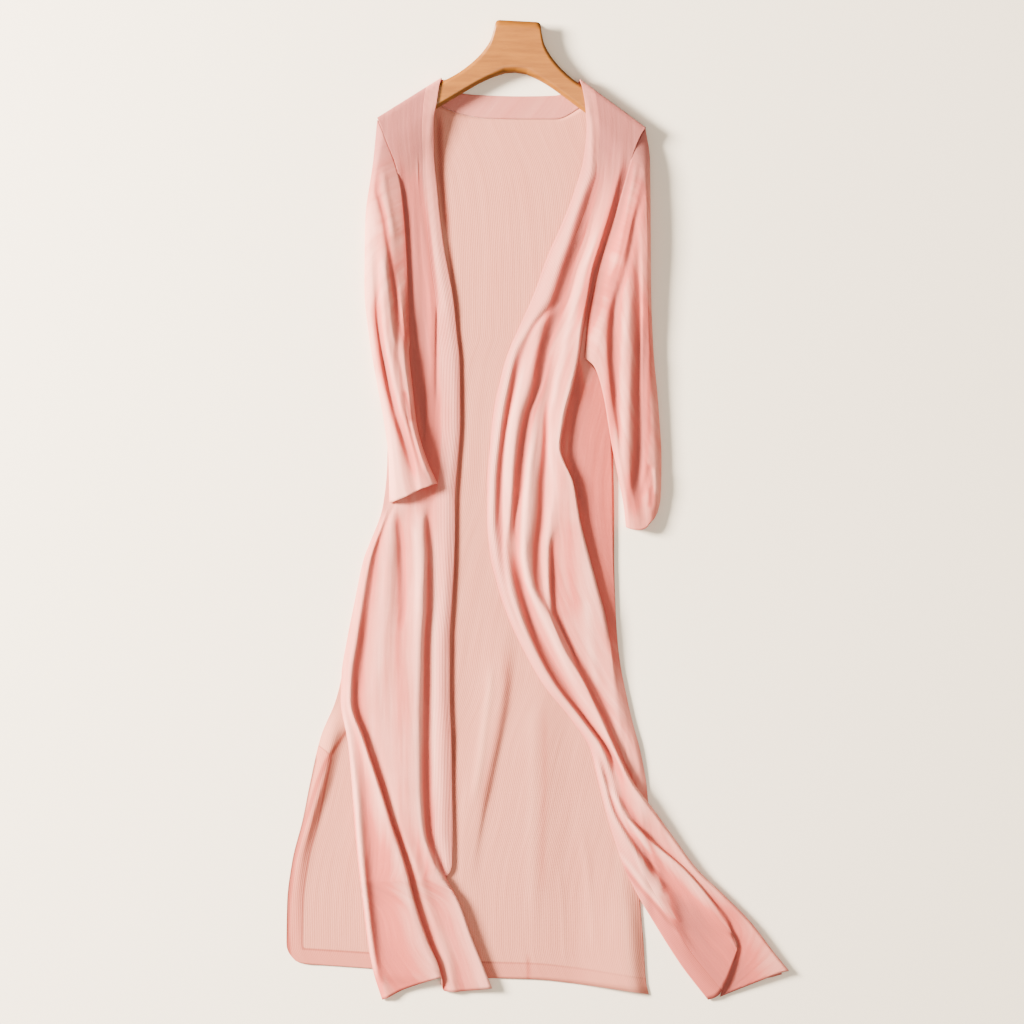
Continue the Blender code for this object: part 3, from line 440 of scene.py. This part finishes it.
def curve_at(knots, values, places):
    """Values at the places of the smooth curves through (knots, values).

    Each stretch is the cubic with the end values and the end slopes of column_slopes.
    """
    knots = np.asarray(knots, float)
    values = np.asarray(values, float)
    flat = values.reshape(len(knots), -1)
    slopes = column_slopes(knots, flat)
    k = np.clip(np.searchsorted(knots, places, side="right") - 1, 0, len(knots) - 2)
    width = (knots[k + 1] - knots[k])[:, None]
    t = ((places - knots[k]) / width[:, 0])[:, None]
    out = (
        flat[k] * (1 + 2 * t) * (1 - t) ** 2
        + slopes[k] * width * t * (1 - t) ** 2
        + flat[k + 1] * t * t * (3 - 2 * t)
        - slopes[k + 1] * width * t * t * (1 - t)
    )
    return out.reshape((len(places),) + values.shape[1:])


def ramp(value, low, high):
    """0 below low, 1 above high, and a smooth rise between."""
    t = np.clip((value - low) / (high - low), 0, 1)
    return t * t * (3 - 2 * t)


def named_points(text, first=3):
    """A panel's named points as an array of rows, columns and (x, y, height), and each row's lift.

    A point's y runs evenly from the row's first y to its second as x does, unless it has its own.
    """
    _, rows = read_table(text)
    points = []
    for row in rows:
        entries = row[first:]
        y_start = row[0][0]
        y_end = row[1][0] if first > 1 else y_start
        x_start = entries[0][0]
        x_end = entries[-1][0]
        line = []
        for entry in entries:
            share = (entry[0] - x_start) / (x_end - x_start)
            y = entry[2] if len(entry) > 2 else y_start + (y_end - y_start) * share
            line.append((entry[0], y, entry[1]))
        points.append(line)
    lifts = [row[2][0] if first == 3 else 0.0 for row in rows]
    return np.array(points), np.array(lifts)


def past_edges(x, y):
    """How far a place lies outside the back's left edge, its right edge and its hem, in millimetres."""
    points, _ = named_points(BACK, first=1)
    left = points[:, 0]
    right = points[:, -1]
    hem = points[-1]
    past_left = np.interp(-y, -left[:, 1], left[:, 0]) - x
    past_right = x - np.interp(-y, -right[:, 1], right[:, 0])
    past_hem = np.interp(x, hem[:, 0], hem[:, 1]) - y
    return past_left, past_right, past_hem


def front_height(x, y, height, lift):
    """Heights of a front's points: on the back, on the surface past the back, or over the hanger."""
    down = ramp(np.max(past_edges(x, y), axis=0), *DROP)
    floor = ON_BACK + (ON_SURFACE + EDGE_GAP - ON_BACK) * down
    return floor + lift + height


def row_places(points):
    """Each row's distance down the panel, as the mean over its columns."""
    gaps = np.linalg.norm(np.diff(points, axis=0), axis=2).mean(axis=1)
    return np.concatenate([[0.0], np.cumsum(gaps)])


def close_rows(points, turned, count):
    """Row places: close ones between the first rows, where the cloth turns, and then even ones."""
    places = row_places(points)
    top = np.interp(np.arange(turned * TURN_STEPS) / TURN_STEPS, np.arange(len(places)), places)
    return np.concatenate([top, np.linspace(places[turned], places[-1], count)])


def spread(points, rows, columns):
    """The smooth surface S(v, u) through named points: curves down the rows, then curves across."""
    down = curve_at(row_places(points), points, rows)
    across = curve_at(np.arange(points.shape[1]), np.swapaxes(down, 0, 1), columns)
    return np.swapaxes(across, 0, 1)


def lengths_across(rows_of_points):
    """Distance along each row of points from its first."""
    gaps = np.linalg.norm(np.diff(rows_of_points[..., :3], axis=1), axis=2)
    return np.concatenate([np.zeros((len(gaps), 1)), np.cumsum(gaps, axis=1)], axis=1)


def at_lengths(rows_of_points, lengths):
    """The points, and their tone, at given distances along each row."""
    along = lengths_across(rows_of_points)
    out = np.empty(lengths.shape + (4,))
    for i, (line, s) in enumerate(zip(rows_of_points, along)):
        for axis in range(4):
            out[i, :, axis] = np.interp(lengths[i], s, line[:, axis])
    return out


def creased(points, text, columns):
    """The surface with its small creases, and a fourth channel with the painted shade that they add.

    Each adds its height and its tone times exp(-(distance / width) squared). A crease runs down the
    panel through its own points, fades in and out at its ends, and touches only the columns it
    names, so that a layer under a fold stays as it is.
    """
    out = np.concatenate([points, np.zeros(points.shape[:2] + (1,))], axis=2)
    x = points[..., 0]
    y = points[..., 1]
    place = np.broadcast_to(columns, x.shape)
    for line in text.strip().splitlines()[1:]:
        words = line.split()
        height, width, tone, first, last = (float(w) for w in words[:5])
        path = np.array([[float(n) for n in word.split("/")] for word in words[5:]])
        path = path[np.argsort(path[:, 1])]
        middle = np.interp(y, path[:, 1], path[:, 0])
        low = path[0, 1]
        high = path[-1, 1]
        reach = CREASE_FADE * (high - low)
        fade = ramp(y, low, low + reach) * ramp(-y, -high, reach - high)
        inside = ramp(place, first - COLUMN_FADE, first) * ramp(-place, -last - COLUMN_FADE, -last)
        shape = fade * inside * np.exp(-(((x - middle) / width) ** 2))
        out[..., 2] += height * shape
        # The tone is painted shade where it is positive and painted highlight where it is negative
        out[..., 3] += tone * shape
    return out


def hollow_of(points, reach):
    """How far each point lies under the mean of its row's neighbours, in millimetres."""
    z = points[..., 2]
    total = np.cumsum(np.pad(z, ((0, 0), (reach + 1, reach)), mode="edge"), axis=1)
    mean = (total[:, 2 * reach + 1 :] - total[:, : -2 * reach - 1]) / (2 * reach + 1)
    return mean - z


def with_painted_light(points, reach):
    """The points with their form's painted shade added in hollows, and painted highlight on crests."""
    out = points.copy()
    out[..., 3] += np.clip(HOLLOW_SHARE * hollow_of(points, reach), -CREST_LIMIT, HOLLOW_LIMIT)
    return out


def edge_distance(points):
    """Distance from the left slit's edge or the hem, and FAR_FROM_EDGE where neither is near."""
    up = points[..., 1] - points[-1:, :, 1]
    above_slit = ramp(points[..., 1], *SLIT_END)
    slit = points[..., 0] - points[..., :1, 0] + FAR_FROM_EDGE * above_slit
    return np.minimum(np.minimum(slit, up), FAR_FROM_EDGE)


def grid_faces(rows, columns, closed):
    """Quads between neighbouring points of a grid, closed across where it is a tube."""
    index = np.arange(rows * columns).reshape(rows, columns)
    if closed:
        index = np.concatenate([index, index[:, :1]], axis=1)
    quads = np.stack([index[:-1, :-1], index[1:, :-1], index[1:, 1:], index[:-1, 1:]], axis=-1)
    return quads.reshape(-1, 4)


def grid_object(name, points, closed=False, flip=False, across=None, painted_light=None, capped=False):
    """A mesh through a grid of points, with its knit coordinates in metres and its painted shade and
    highlight.

    A closed grid's columns run all round it. A capped one has a face over each of its end rings.
    """
    rows, columns = points.shape[:2]
    faces = grid_faces(rows, columns, closed)
    if flip:
        faces = faces[:, ::-1]
    faces = faces.tolist()
    if capped:
        first_ring = list(range(columns))
        last_ring = list(range((rows - 1) * columns, rows * columns))
        faces += [first_ring[::-1], last_ring] if flip else [first_ring, last_ring[::-1]]
    mesh = bpy.data.meshes.new(name)
    mesh.from_pydata((points.reshape(-1, 3) * MM).tolist(), [], faces)
    mesh.shade_smooth()
    if across is None:
        across = lengths_across(points)
    gaps = np.linalg.norm(np.diff(points, axis=0), axis=2).mean(axis=1)
    down = np.concatenate([[0.0], np.cumsum(gaps)])[:, None] + np.zeros(columns)
    knit = np.stack([across, down, np.zeros_like(down)], axis=-1).reshape(-1, 3) * MM
    attribute = mesh.attributes.new("knit", "FLOAT_VECTOR", "POINT")
    attribute.data.foreach_set("vector", knit.astype(np.float32).ravel())
    if painted_light is not None:
        shade = mesh.attributes.new("painted_light", "FLOAT", "POINT")
        shade.data.foreach_set("value", painted_light.astype(np.float32).ravel())
    piece = bpy.data.objects.new(name + "_look", mesh)
    piece["stands_for"] = name
    bpy.context.scene.collection.objects.link(piece)
    return piece


def cloth_object(name, points, closed=False, flip=False, across=None):
    """A cloth piece: a sheet through the points, thickened evenly to both sides of them."""
    piece = grid_object(name, points[..., :3], closed, flip, across, points[..., 3])
    thick = piece.modifiers.new("wall", "SOLIDIFY")
    thick.thickness = CLOTH * MM
    thick.offset = 0.0
    thick.use_rim = True
    return piece


def sharp_column(piece, columns, column):
    """Marks the edges down one column of a piece's grid as sharp, where it is sewn edge to edge."""
    mesh = piece.data
    ends = np.empty(2 * len(mesh.edges), dtype=np.int32)
    mesh.edges.foreach_get("vertices", ends)
    on_seam = (ends.reshape(-1, 2) % columns == column).all(axis=1)
    sharp = mesh.attributes.new("sharp_edge", "BOOLEAN", "EDGE")
    sharp.data.foreach_set("value", on_seam)


def front_pieces(side, text, creases, steps, count, flip=False):
    """A front's band and panel, cut from one creased surface at the band's seam.

    Along each row the band takes the cloth's first BAND_WIDTH millimetres. The panel takes the rest,
    in even steps between the named columns' own distances along the row.
    """
    points, lifts = named_points(text)
    lifts = np.broadcast_to(lifts[:, None, None] * LIFT_FULL, points.shape[:2] + (1,))
    points = np.concatenate([points, lifts], axis=2)
    rows = close_rows(points, TURNED_ROWS, count)
    named = points.shape[1]
    places = np.linspace(0, named - 1, (named - 1) * FINE_STEPS + 1)
    fine = spread(points, rows, places)
    fine[..., 2] = front_height(*np.moveaxis(fine, 2, 0))
    fine = creased(fine[..., :3], creases, places)
    at_columns = lengths_across(fine)[:, ::FINE_STEPS]
    band = np.linspace(0, BAND_WIDTH, BAND_POINTS)[None, :].repeat(len(fine), 0)
    seam_at = BAND_WIDTH + BAND_GAP
    beyond = at_columns[:, BAND_COLUMNS:]
    least = seam_at + LEAST_COLUMN * np.arange(1, beyond.shape[1] + 1)
    knots = np.maximum(beyond, least)
    knots = np.concatenate([np.full((len(fine), 1), seam_at), knots], axis=1)
    share = np.linspace(0, knots.shape[1] - 1, (knots.shape[1] - 1) * steps + 1)
    lengths = np.array([np.interp(share, np.arange(len(k)), k) for k in knots])
    lengths[:, -1] = at_columns[:, -1]
    whole = with_painted_light(at_lengths(fine, np.concatenate([band, lengths], axis=1)), FRONT_REACH)
    edge = cloth_object(side + "_front_band", whole[:, :BAND_POINTS], flip=flip, across=band)
    panel = cloth_object(side + "_front", whole[:, BAND_POINTS:], flip=flip, across=lengths)
    sharp_column(edge, BAND_POINTS, BAND_POINTS - 1)
    sharp_column(panel, lengths.shape[1], 0)
    return edge, panel


def back_pieces(steps, count):
    """The back panel, and the neck band along its top edge.

    The back is the surface of spread with its creases, nowhere under the surface that it lies on.
    The neck band is U + (L - U) t, from its upper edge U to the line L just outside the back's edge.
    """
    points, _ = named_points(BACK, first=1)
    points[..., 2] += ON_SURFACE
    named = points.shape[1]
    columns = np.linspace(0, named - 1, (named - 1) * steps + 1)
    rows = np.linspace(0, row_places(points)[-1], count)
    grid = spread(points, rows, columns)
    grid = creased(grid, BACK_CREASES, columns)
    grid[..., 2] = np.maximum(grid[..., 2], ON_SURFACE)
    across = grid[..., 0] - grid[..., :1, 0]
    names, table = read_table(NECK_BAND_TOP)
    top = np.array(table)[:, :, 0].T
    places = np.linspace(0, len(names) - 1, (len(names) - 1) * steps + 1)
    upper = curve_at(np.arange(len(names)), top, places)
    lower = grid[0, steps : steps + len(places), :2]
    along = np.gradient(lower, axis=0)
    outwards = np.stack([-along[:, 1], along[:, 0]], axis=1)
    outwards /= np.linalg.norm(outwards, axis=1)[:, None]
    lower = lower + outwards * (SEAM_GAP + EDGE_GAP)
    share = np.linspace(0, 1, NECK_ROWS)[:, None, None]
    flat = upper[None] + (lower - upper)[None] * share
    level = np.full(flat.shape[:2] + (1,), ON_SURFACE)
    band = np.concatenate([flat, level, level * 0], axis=2)
    back = cloth_object("back", with_painted_light(grid, FRONT_REACH), across=across)
    edge = back.data.attributes.new("edge", "FLOAT", "POINT")
    edge.data.foreach_set("value", edge_distance(grid).astype(np.float32).ravel())
    neck = cloth_object("neck_band", band)
    return back, neck


def under_sleeve(x, y, side):
    """Height of a sleeve's lower layer: on the surface, or over the body that it crosses."""
    past_left, past_right, _ = past_edges(x, y)
    inside = -past_left if side == "left" else -past_right
    return ON_SURFACE + EDGE_GAP + (OVER_BODY - ON_SURFACE) * ramp(inside, *SLEEVE_RISE)


def sleeve_piece(side, text, creases, steps, count, flip=False):
    """A sleeve's closed rings: the table's upper layer, then its lower layer back under it."""
    top, _ = named_points(text, first=2)
    under = top[:, -2:0:-1].copy()
    under[..., 2] = under_sleeve(under[..., 0], under[..., 1], side)
    rings = np.concatenate([top, under], axis=1)
    named = rings.shape[1]
    wrapped = np.concatenate([rings[:, -SLEEVE_LAP:], rings, rings[:, :SLEEVE_LAP]], axis=1)
    columns = SLEEVE_LAP + np.arange(named * steps) / steps
    rows = np.linspace(0, row_places(wrapped)[-1], count)
    grid = spread(wrapped, rows, columns)
    grid = creased(grid, creases, columns - SLEEVE_LAP)
    return cloth_object(side + "_sleeve", with_painted_light(grid, SLEEVE_REACH), closed=True, flip=flip)


def hanger_piece():
    """The hanger: cross-sections of a bar with rounded edges, from one arm's tip to the other.

    Each runs from the upper edge to the lower one and back underneath. A section has quarter circles
    of the edge's radius at its four corners, and the last ones shrink to a small cap at each tip.
    """
    _, rows = read_table(HANGER)
    half = np.array(rows)[:, :, 0]
    half = curve_at(np.arange(len(half)), half, np.linspace(0, len(half) - 1, HANGER_STATIONS))
    stations = np.concatenate([half[::-1] * [-1, 1, -1, 1], half[1:]])
    upper = stations[:, :2]
    lower = stations[:, 2:]
    turn = np.linspace(0, math.pi / 2, HANGER_ARC)
    arc_in = HANGER_EDGE * (1 - np.sin(turn))
    arc_up = HANGER_EDGE * (1 - np.cos(turn))
    middle = np.linspace(0, 1, HANGER_FLAT + 2)[1:-1]
    width = np.linalg.norm(upper - lower, axis=1)[:, None]
    side_in = np.concatenate([arc_in[::-1], arc_in])
    most = HANGER_EDGE_SHARE * width
    edge = np.minimum(side_in, most)
    flat = np.minimum(HANGER_EDGE, most)
    over = flat + (width - 2 * flat) * middle
    from_upper = np.concatenate([edge, over, width - edge, width - over], axis=1)
    rise = np.concatenate([arc_up, HANGER_DEPTH - arc_up[::-1]])
    top = np.full(HANGER_FLAT, HANGER_DEPTH)
    height = np.concatenate([rise, top, rise[::-1], 0 * top])
    share = (from_upper / width)[..., None]
    flat_points = upper[:, None] + (lower - upper)[:, None] * share
    angle = math.radians(HANGER_TURN)
    x = flat_points[..., 0] * math.cos(angle) - flat_points[..., 1] * math.sin(angle) + HEAD_TOP[0]
    y = flat_points[..., 0] * math.sin(angle) + flat_points[..., 1] * math.cos(angle) + HEAD_TOP[1]
    z = np.broadcast_to(height + HANGER_BASE, x.shape)
    grid = np.stack([x, y, z], axis=-1)
    first = grid[:1].mean(axis=1, keepdims=True)
    last = grid[-1:].mean(axis=1, keepdims=True)
    starts = [first + (grid[:1] - first) * share for share in HANGER_TIP]
    ends = [last + (grid[-1:] - last) * share for share in HANGER_TIP[::-1]]
    grid = np.concatenate(starts + [grid] + ends)
    across = np.concatenate([from_upper[:1]] * 2 + [from_upper] + [from_upper[-1:]] * 2)
    return grid_object("hanger", grid, closed=True, flip=True, across=across, capped=True)


def srgb(code):
    """A colour from its six hex digits, made linear."""
    parts = [int(code[i : i + 2], 16) / 255 for i in (0, 2, 4)]
    return [p / 12.92 if p <= 0.04045 else ((p + 0.055) / 1.055) ** 2.4 for p in parts] + [1.0]


def new_material(name):
    """An empty node material, its nodes, and its shader."""
    material = bpy.data.materials.new(name)
    material.use_nodes = True
    return material, material.node_tree, material.node_tree.nodes["Principled BSDF"]


def add(tree, kind, inputs=(), **settings):
    """A node with its settings. Each input is a value, a socket, or a node for its first output."""
    node = tree.nodes.new("ShaderNode" + kind)
    for key, value in settings.items():
        setattr(node, key, value)
    for place, value in dict(inputs).items():
        if isinstance(value, bpy.types.Node):
            value = value.outputs[0]
        if isinstance(value, bpy.types.NodeSocket):
            tree.links.new(value, node.inputs[place])
        else:
            node.inputs[place].default_value = value
    return node


def knit_material(name, highlight_base_shade, pitch, rib_share, shoulder_shade_share, drape_share):
    """Fine knit: wales along the cloth, with painted highlight on its crests and painted shade in its
    hollows.

    The eye sees a soft matt surface, faint lines along the length, long soft drape marks, and a
    painted shade, deeper and redder, where the cloth turns inwards. The ramp's three stops are the crests'
    painted highlight, the flat cloth's own colour and the hollows' painted shade. A greyer painted shade
    lies over the shoulders, by the share given for it, and drape_share sets how strong the drape marks
    are, in the bump and in the painted shade and highlight.
    """
    material, tree, shader = new_material(name)
    knit = add(tree, "Attribute", attribute_name="knit").outputs["Vector"]
    painted_light = add(tree, "Attribute", attribute_name="painted_light").outputs["Fac"]
    parts = add(tree, "SeparateXYZ", {0: knit})
    waves = []
    for axis, spacing in ((0, pitch), (1, COURSE_SHARE * pitch)):
        turns = 2 * math.pi / spacing / MM
        angle = add(tree, "Math", {0: parts.outputs[axis], 1: turns}, operation="MULTIPLY")
        waves.append(add(tree, "Math", {0: angle}, operation="SINE"))
    wales, courses = waves
    stretched = add(tree, "Mapping", {"Vector": knit, "Scale": (1.0, DRAPE_STRETCH, 1.0)})
    drape = add(tree, "TexNoise", {"Vector": stretched, "Scale": DRAPE_CELLS, "Detail": 2.0})
    fuzz = add(tree, "TexNoise", {"Vector": knit, "Scale": FUZZ_CELLS, "Detail": 2.0})
    mottle = add(tree, "TexNoise", {"Vector": knit, "Scale": MOTTLE_CELLS, "Detail": 2.0})
    place = add(
        tree,
        "MapRange",
        {"Value": painted_light, "From Min": CREST_TONE, "From Max": HOLLOW_TONE},
        interpolation_type="SMOOTHSTEP",
    )
    # The drape marks also shift the painted shade and highlight, as the shading of soft ripples; the mottle
    # shifts the colour at random
    drape_tone = DRAPE_TONE * drape_share
    for pattern, share in ((drape, drape_tone), (mottle, MOTTLE_TONE), (wales, rib_share)):
        place = add(tree, "Math", {0: pattern, 1: share, 2: place}, operation="MULTIPLY_ADD")
    place = add(tree, "Math", {0: place, 1: 0.5 * (drape_tone + MOTTLE_TONE)}, operation="SUBTRACT")
    # Painted shade and highlight: the ramp runs from the crests' painted highlight through the cloth's own
    # colour to the hollows' painted shade
    shades = add(tree, "ValToRGB", {"Fac": place})
    ramp_colours = shades.color_ramp.elements
    ramp_colours[0].position = 0.05
    ramp_colours.new(0.5)
    for stop, colour in zip(ramp_colours, highlight_base_shade):
        stop.color = srgb(colour)
    # Painted shade over the shoulders: a greyer colour mixed in towards the top of the garment, by the share
    # given for each knit
    up = add(tree, "SeparateXYZ", {0: add(tree, "TexCoord").outputs["Object"]}).outputs[1]
    shoulder = add(
        tree,
        "MapRange",
        {"Value": up, "From Min": SHOULDER_SHADE_FROM, "From Max": SHOULDER_SHADE_FULL, "To Min": 0.0, "To Max": shoulder_shade_share},
        interpolation_type="SMOOTHSTEP",
    )
    mixed = {0: shoulder, 6: shades.outputs["Color"], 7: srgb(SHOULDER_SHADE)}
    greyer = add(tree, "Mix", mixed, data_type="RGBA")
    tree.links.new(greyer.outputs[2], shader.inputs["Base Color"])
    rib_rise = RIB_RISE * rib_share
    rises = (
        (wales, rib_rise),
        (courses, COURSE_RISE_SHARE * rib_rise),
        (drape, DRAPE_RISE * drape_share),
        (fuzz, FUZZ_RISE),
    )
    height = 0.0
    for pattern, rise in rises:
        height = add(tree, "Math", {0: pattern, 1: rise, 2: height}, operation="MULTIPLY_ADD")
    bump = add(tree, "Bump", {"Height": height, "Strength": 0.9, "Distance": 1.0})
    tree.links.new(bump.outputs[0], shader.inputs["Normal"])
    shader.inputs["Roughness"].default_value = 0.82
    shader.inputs["Sheen Weight"].default_value = 0.1
    shader.inputs["Sheen Roughness"].default_value = 0.45
    shader.inputs["Sheen Tint"].default_value = srgb("FFE3D6")
    shader.inputs["Specular IOR Level"].default_value = 0.25
    return material


def edge_band(material, band_colour, line_colour, rim_shade_colour, width):
    """A turned edge: a rosier band inside the slit's edge and the hem, with a fine stitched line.

    The slit's rim is darker with a painted shade. The marks grow fainter towards the right, where the hem
    lies flatter.
    """
    tree = material.node_tree
    shader = tree.nodes["Principled BSDF"]
    distance = add(tree, "Attribute", attribute_name="edge").outputs["Fac"]
    place = add(tree, "SeparateXYZ", {0: add(tree, "TexCoord").outputs["Object"]})
    seen = add(
        tree,
        "MapRange",
        {"Value": place.outputs[0], "From Min": -0.12, "From Max": 0.1, "To Min": 1.0, "To Max": 0.35},
    )
    by_slit = add(tree, "MapRange", {"Value": place.outputs[1], "From Min": -0.6, "From Max": -0.56})
    past = add(tree, "Math", {0: distance, 1: width}, operation="SUBTRACT")
    off_line = add(tree, "Math", {0: past}, operation="ABSOLUTE")
    marks = (
        (distance, width - 2.0, width + 1.0, 0.45, seen, band_colour),
        (off_line, 0.4, 2.2, 0.75, seen, line_colour),
        # Painted shade along the slit's curled rim
        (distance, 0.5, 4.0, 0.75, by_slit, rim_shade_colour),
    )
    below = shader.inputs["Base Color"].links[0].from_socket
    for measure, full, gone, share, part, colour in marks:
        mark = add(
            tree,
            "MapRange",
            {"Value": measure, "From Min": full, "From Max": gone, "To Min": share, "To Max": 0.0},
            interpolation_type="SMOOTHSTEP",
        )
        amount = add(tree, "Math", {0: mark, 1: part}, operation="MULTIPLY")
        below = add(tree, "Mix", {0: amount, 6: below, 7: srgb(colour)}, data_type="RGBA").outputs[2]
    tree.links.new(below, shader.inputs["Base Color"])


def wood_material():
    """Lacquered golden-brown wood: grain along the arms, soft darker bands and a satin coat.

    The bands are about 6 mm apart and 55 mm long. The pores are 0.8 mm wide and 10 mm long.
    """
    material, tree, shader = new_material("hanger_wood")
    place = add(tree, "TexCoord").outputs["Object"]
    along = add(tree, "Mapping", {"Vector": place, "Rotation": (0, 0, 0.1), "Scale": (3.0, 26.0, 12.0)})
    grain = add(tree, "TexNoise", {"Vector": along, "Scale": 6.0, "Detail": 5.0, "Roughness": 0.6})
    thin = add(tree, "Mapping", {"Vector": place, "Scale": (12.0, 160.0, 60.0)})
    pores = add(tree, "TexNoise", {"Vector": thin, "Scale": 8.0, "Detail": 3.0})
    mixed = add(tree, "Math", {0: pores, 1: 0.25, 2: grain}, operation="MULTIPLY_ADD")
    shades = add(tree, "ValToRGB", {"Fac": mixed})
    shades.color_ramp.elements[0].position = 0.35
    shades.color_ramp.elements[0].color = srgb("7B4509")
    shades.color_ramp.elements[1].position = 0.8
    shades.color_ramp.elements[1].color = srgb("995C13")
    tree.links.new(shades.outputs["Color"], shader.inputs["Base Color"])
    height = add(tree, "Math", {0: mixed, 1: 0.0002}, operation="MULTIPLY")
    bump = add(tree, "Bump", {"Height": height, "Strength": 0.5, "Distance": 1.0})
    tree.links.new(bump.outputs[0], shader.inputs["Normal"])
    shader.inputs["Roughness"].default_value = 0.42
    shader.inputs["Coat Weight"].default_value = 0.25
    shader.inputs["Coat Roughness"].default_value = 0.25
    return material


def floor_piece():
    """The pale surface that the garment lies on, far wider than the view."""
    mesh = bpy.data.meshes.new("floor")
    far = 4.0
    level = -0.0004
    corner_points = [(-far, -far, level), (far, -far, level), (far, far, level), (-far, far, level)]
    mesh.from_pydata(corner_points, [], [(0, 1, 2, 3)])
    floor = bpy.data.objects.new("floor", mesh)
    bpy.context.scene.collection.objects.link(floor)
    material, tree, shader = new_material("pale_paper")
    place = add(tree, "TexCoord").outputs["Object"]
    cloud = add(tree, "TexNoise", {"Vector": place, "Scale": 1.5, "Detail": 1.0})
    shades = add(tree, "ValToRGB", {"Fac": cloud})
    shades.color_ramp.elements[0].color = srgb("F6EAD6")
    shades.color_ramp.elements[1].color = srgb("FBF1E0")
    tree.links.new(shades.outputs["Color"], shader.inputs["Base Color"])
    shader.inputs["Roughness"].default_value = 0.9
    shader.inputs["Specular IOR Level"].default_value = 0.1
    mesh.materials.append(material)


def light_from(name, place, size, power, colour):
    """A square area light that faces the middle of the garment."""
    lamp = bpy.data.lights.new(name, "AREA")
    lamp.size = size
    lamp.energy = power
    lamp.color = colour
    holder = bpy.data.objects.new(name, lamp)
    holder.location = place
    towards = -np.array(place)
    across = math.atan2(towards[1], towards[0])
    tilt = math.acos(-towards[2] / np.linalg.norm(towards))
    holder.rotation_euler = (0, -tilt, across)
    bpy.context.scene.collection.objects.link(holder)


def light_and_camera():
    """Window light low from the left, soft fill from above, and a long lens looking straight down."""
    light_from("window", place=(-4.2, 1.2, 2.1), size=1.3, power=2150.0, colour=(1.0, 0.91, 0.80))
    light_from("ceiling", place=(0.6, -0.4, 3.2), size=2.4, power=60.0, colour=(1.0, 0.90, 0.78))
    world = bpy.data.worlds.new("room")
    world.use_nodes = True
    world.node_tree.nodes["Background"].inputs["Color"].default_value = (1.0, 0.90, 0.81, 1.0)
    world.node_tree.nodes["Background"].inputs["Strength"].default_value = 0.5
    bpy.context.scene.world = world
    lens = bpy.data.cameras.new("camera")
    lens.sensor_width = 36.0
    lens.lens = 36.0 * VIEW_HEIGHT / VIEW_WIDTH
    lens.clip_end = 50.0
    camera = bpy.data.objects.new("camera", lens)
    camera.location = (VIEW_MIDDLE[0] * MM, VIEW_MIDDLE[1] * MM, VIEW_HEIGHT * MM)
    bpy.context.scene.collection.objects.link(camera)
    bpy.context.scene.camera = camera


def declare(piece, material):
    """The piece's finish, the body that it rides on, and the node that it stands for."""
    piece.data.materials.append(material)
    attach(piece, "root")
    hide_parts(piece["stands_for"])


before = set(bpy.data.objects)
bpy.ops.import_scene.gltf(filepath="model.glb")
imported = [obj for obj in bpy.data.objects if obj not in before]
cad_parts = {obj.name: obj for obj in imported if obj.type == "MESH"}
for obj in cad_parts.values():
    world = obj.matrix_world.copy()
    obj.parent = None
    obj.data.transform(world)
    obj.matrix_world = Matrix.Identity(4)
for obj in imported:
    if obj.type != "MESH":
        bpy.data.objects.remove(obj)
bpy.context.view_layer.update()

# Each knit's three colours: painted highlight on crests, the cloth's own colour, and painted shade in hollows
highlight_base_shade = ("EA9E8E", "CC5F53", "A6544C")
knit = knit_material("fine_knit", highlight_base_shade, pitch=WALE, rib_share=0.04, shoulder_shade_share=0.85, drape_share=1.0)
highlight_base_shade = ("E49B8A", "C8645A", "99483D")
band_knit = knit_material("band_rib", highlight_base_shade, pitch=BAND_RIB, rib_share=0.045, shoulder_shade_share=0.3, drape_share=0.6)
highlight_base_shade = ("D58C76", "C57663", "934637")
inside_knit = knit_material("inside_rib", highlight_base_shade, INSIDE_RIB, rib_share=0.025, shoulder_shade_share=0.0, drape_share=0.45)
edge_band(inside_knit, band_colour="B9574B", line_colour="9A4A3E", rim_shade_colour="5E2A20", width=HEM_BAND)

back, neck_band = back_pieces(steps=21, count=200)
left_band, left_front = front_pieces("left", LEFT_FRONT, LEFT_CREASES, steps=9, count=290)
right_band, right_front = front_pieces("right", RIGHT_FRONT, RIGHT_CREASES, steps=10, count=290, flip=True)
left_sleeve = sleeve_piece("left", LEFT_SLEEVE, LEFT_SLEEVE_CREASES, steps=9, count=160)
right_sleeve = sleeve_piece("right", RIGHT_SLEEVE, RIGHT_SLEEVE_CREASES, steps=9, count=160, flip=True)
hanger = hanger_piece()

declare(back, inside_knit)
declare(neck_band, band_knit)
declare(left_band, band_knit)
declare(right_band, band_knit)
declare(left_front, knit)
declare(right_front, knit)
declare(left_sleeve, knit)
declare(right_sleeve, knit)
declare(hanger, wood_material())

floor_piece()
light_and_camera()
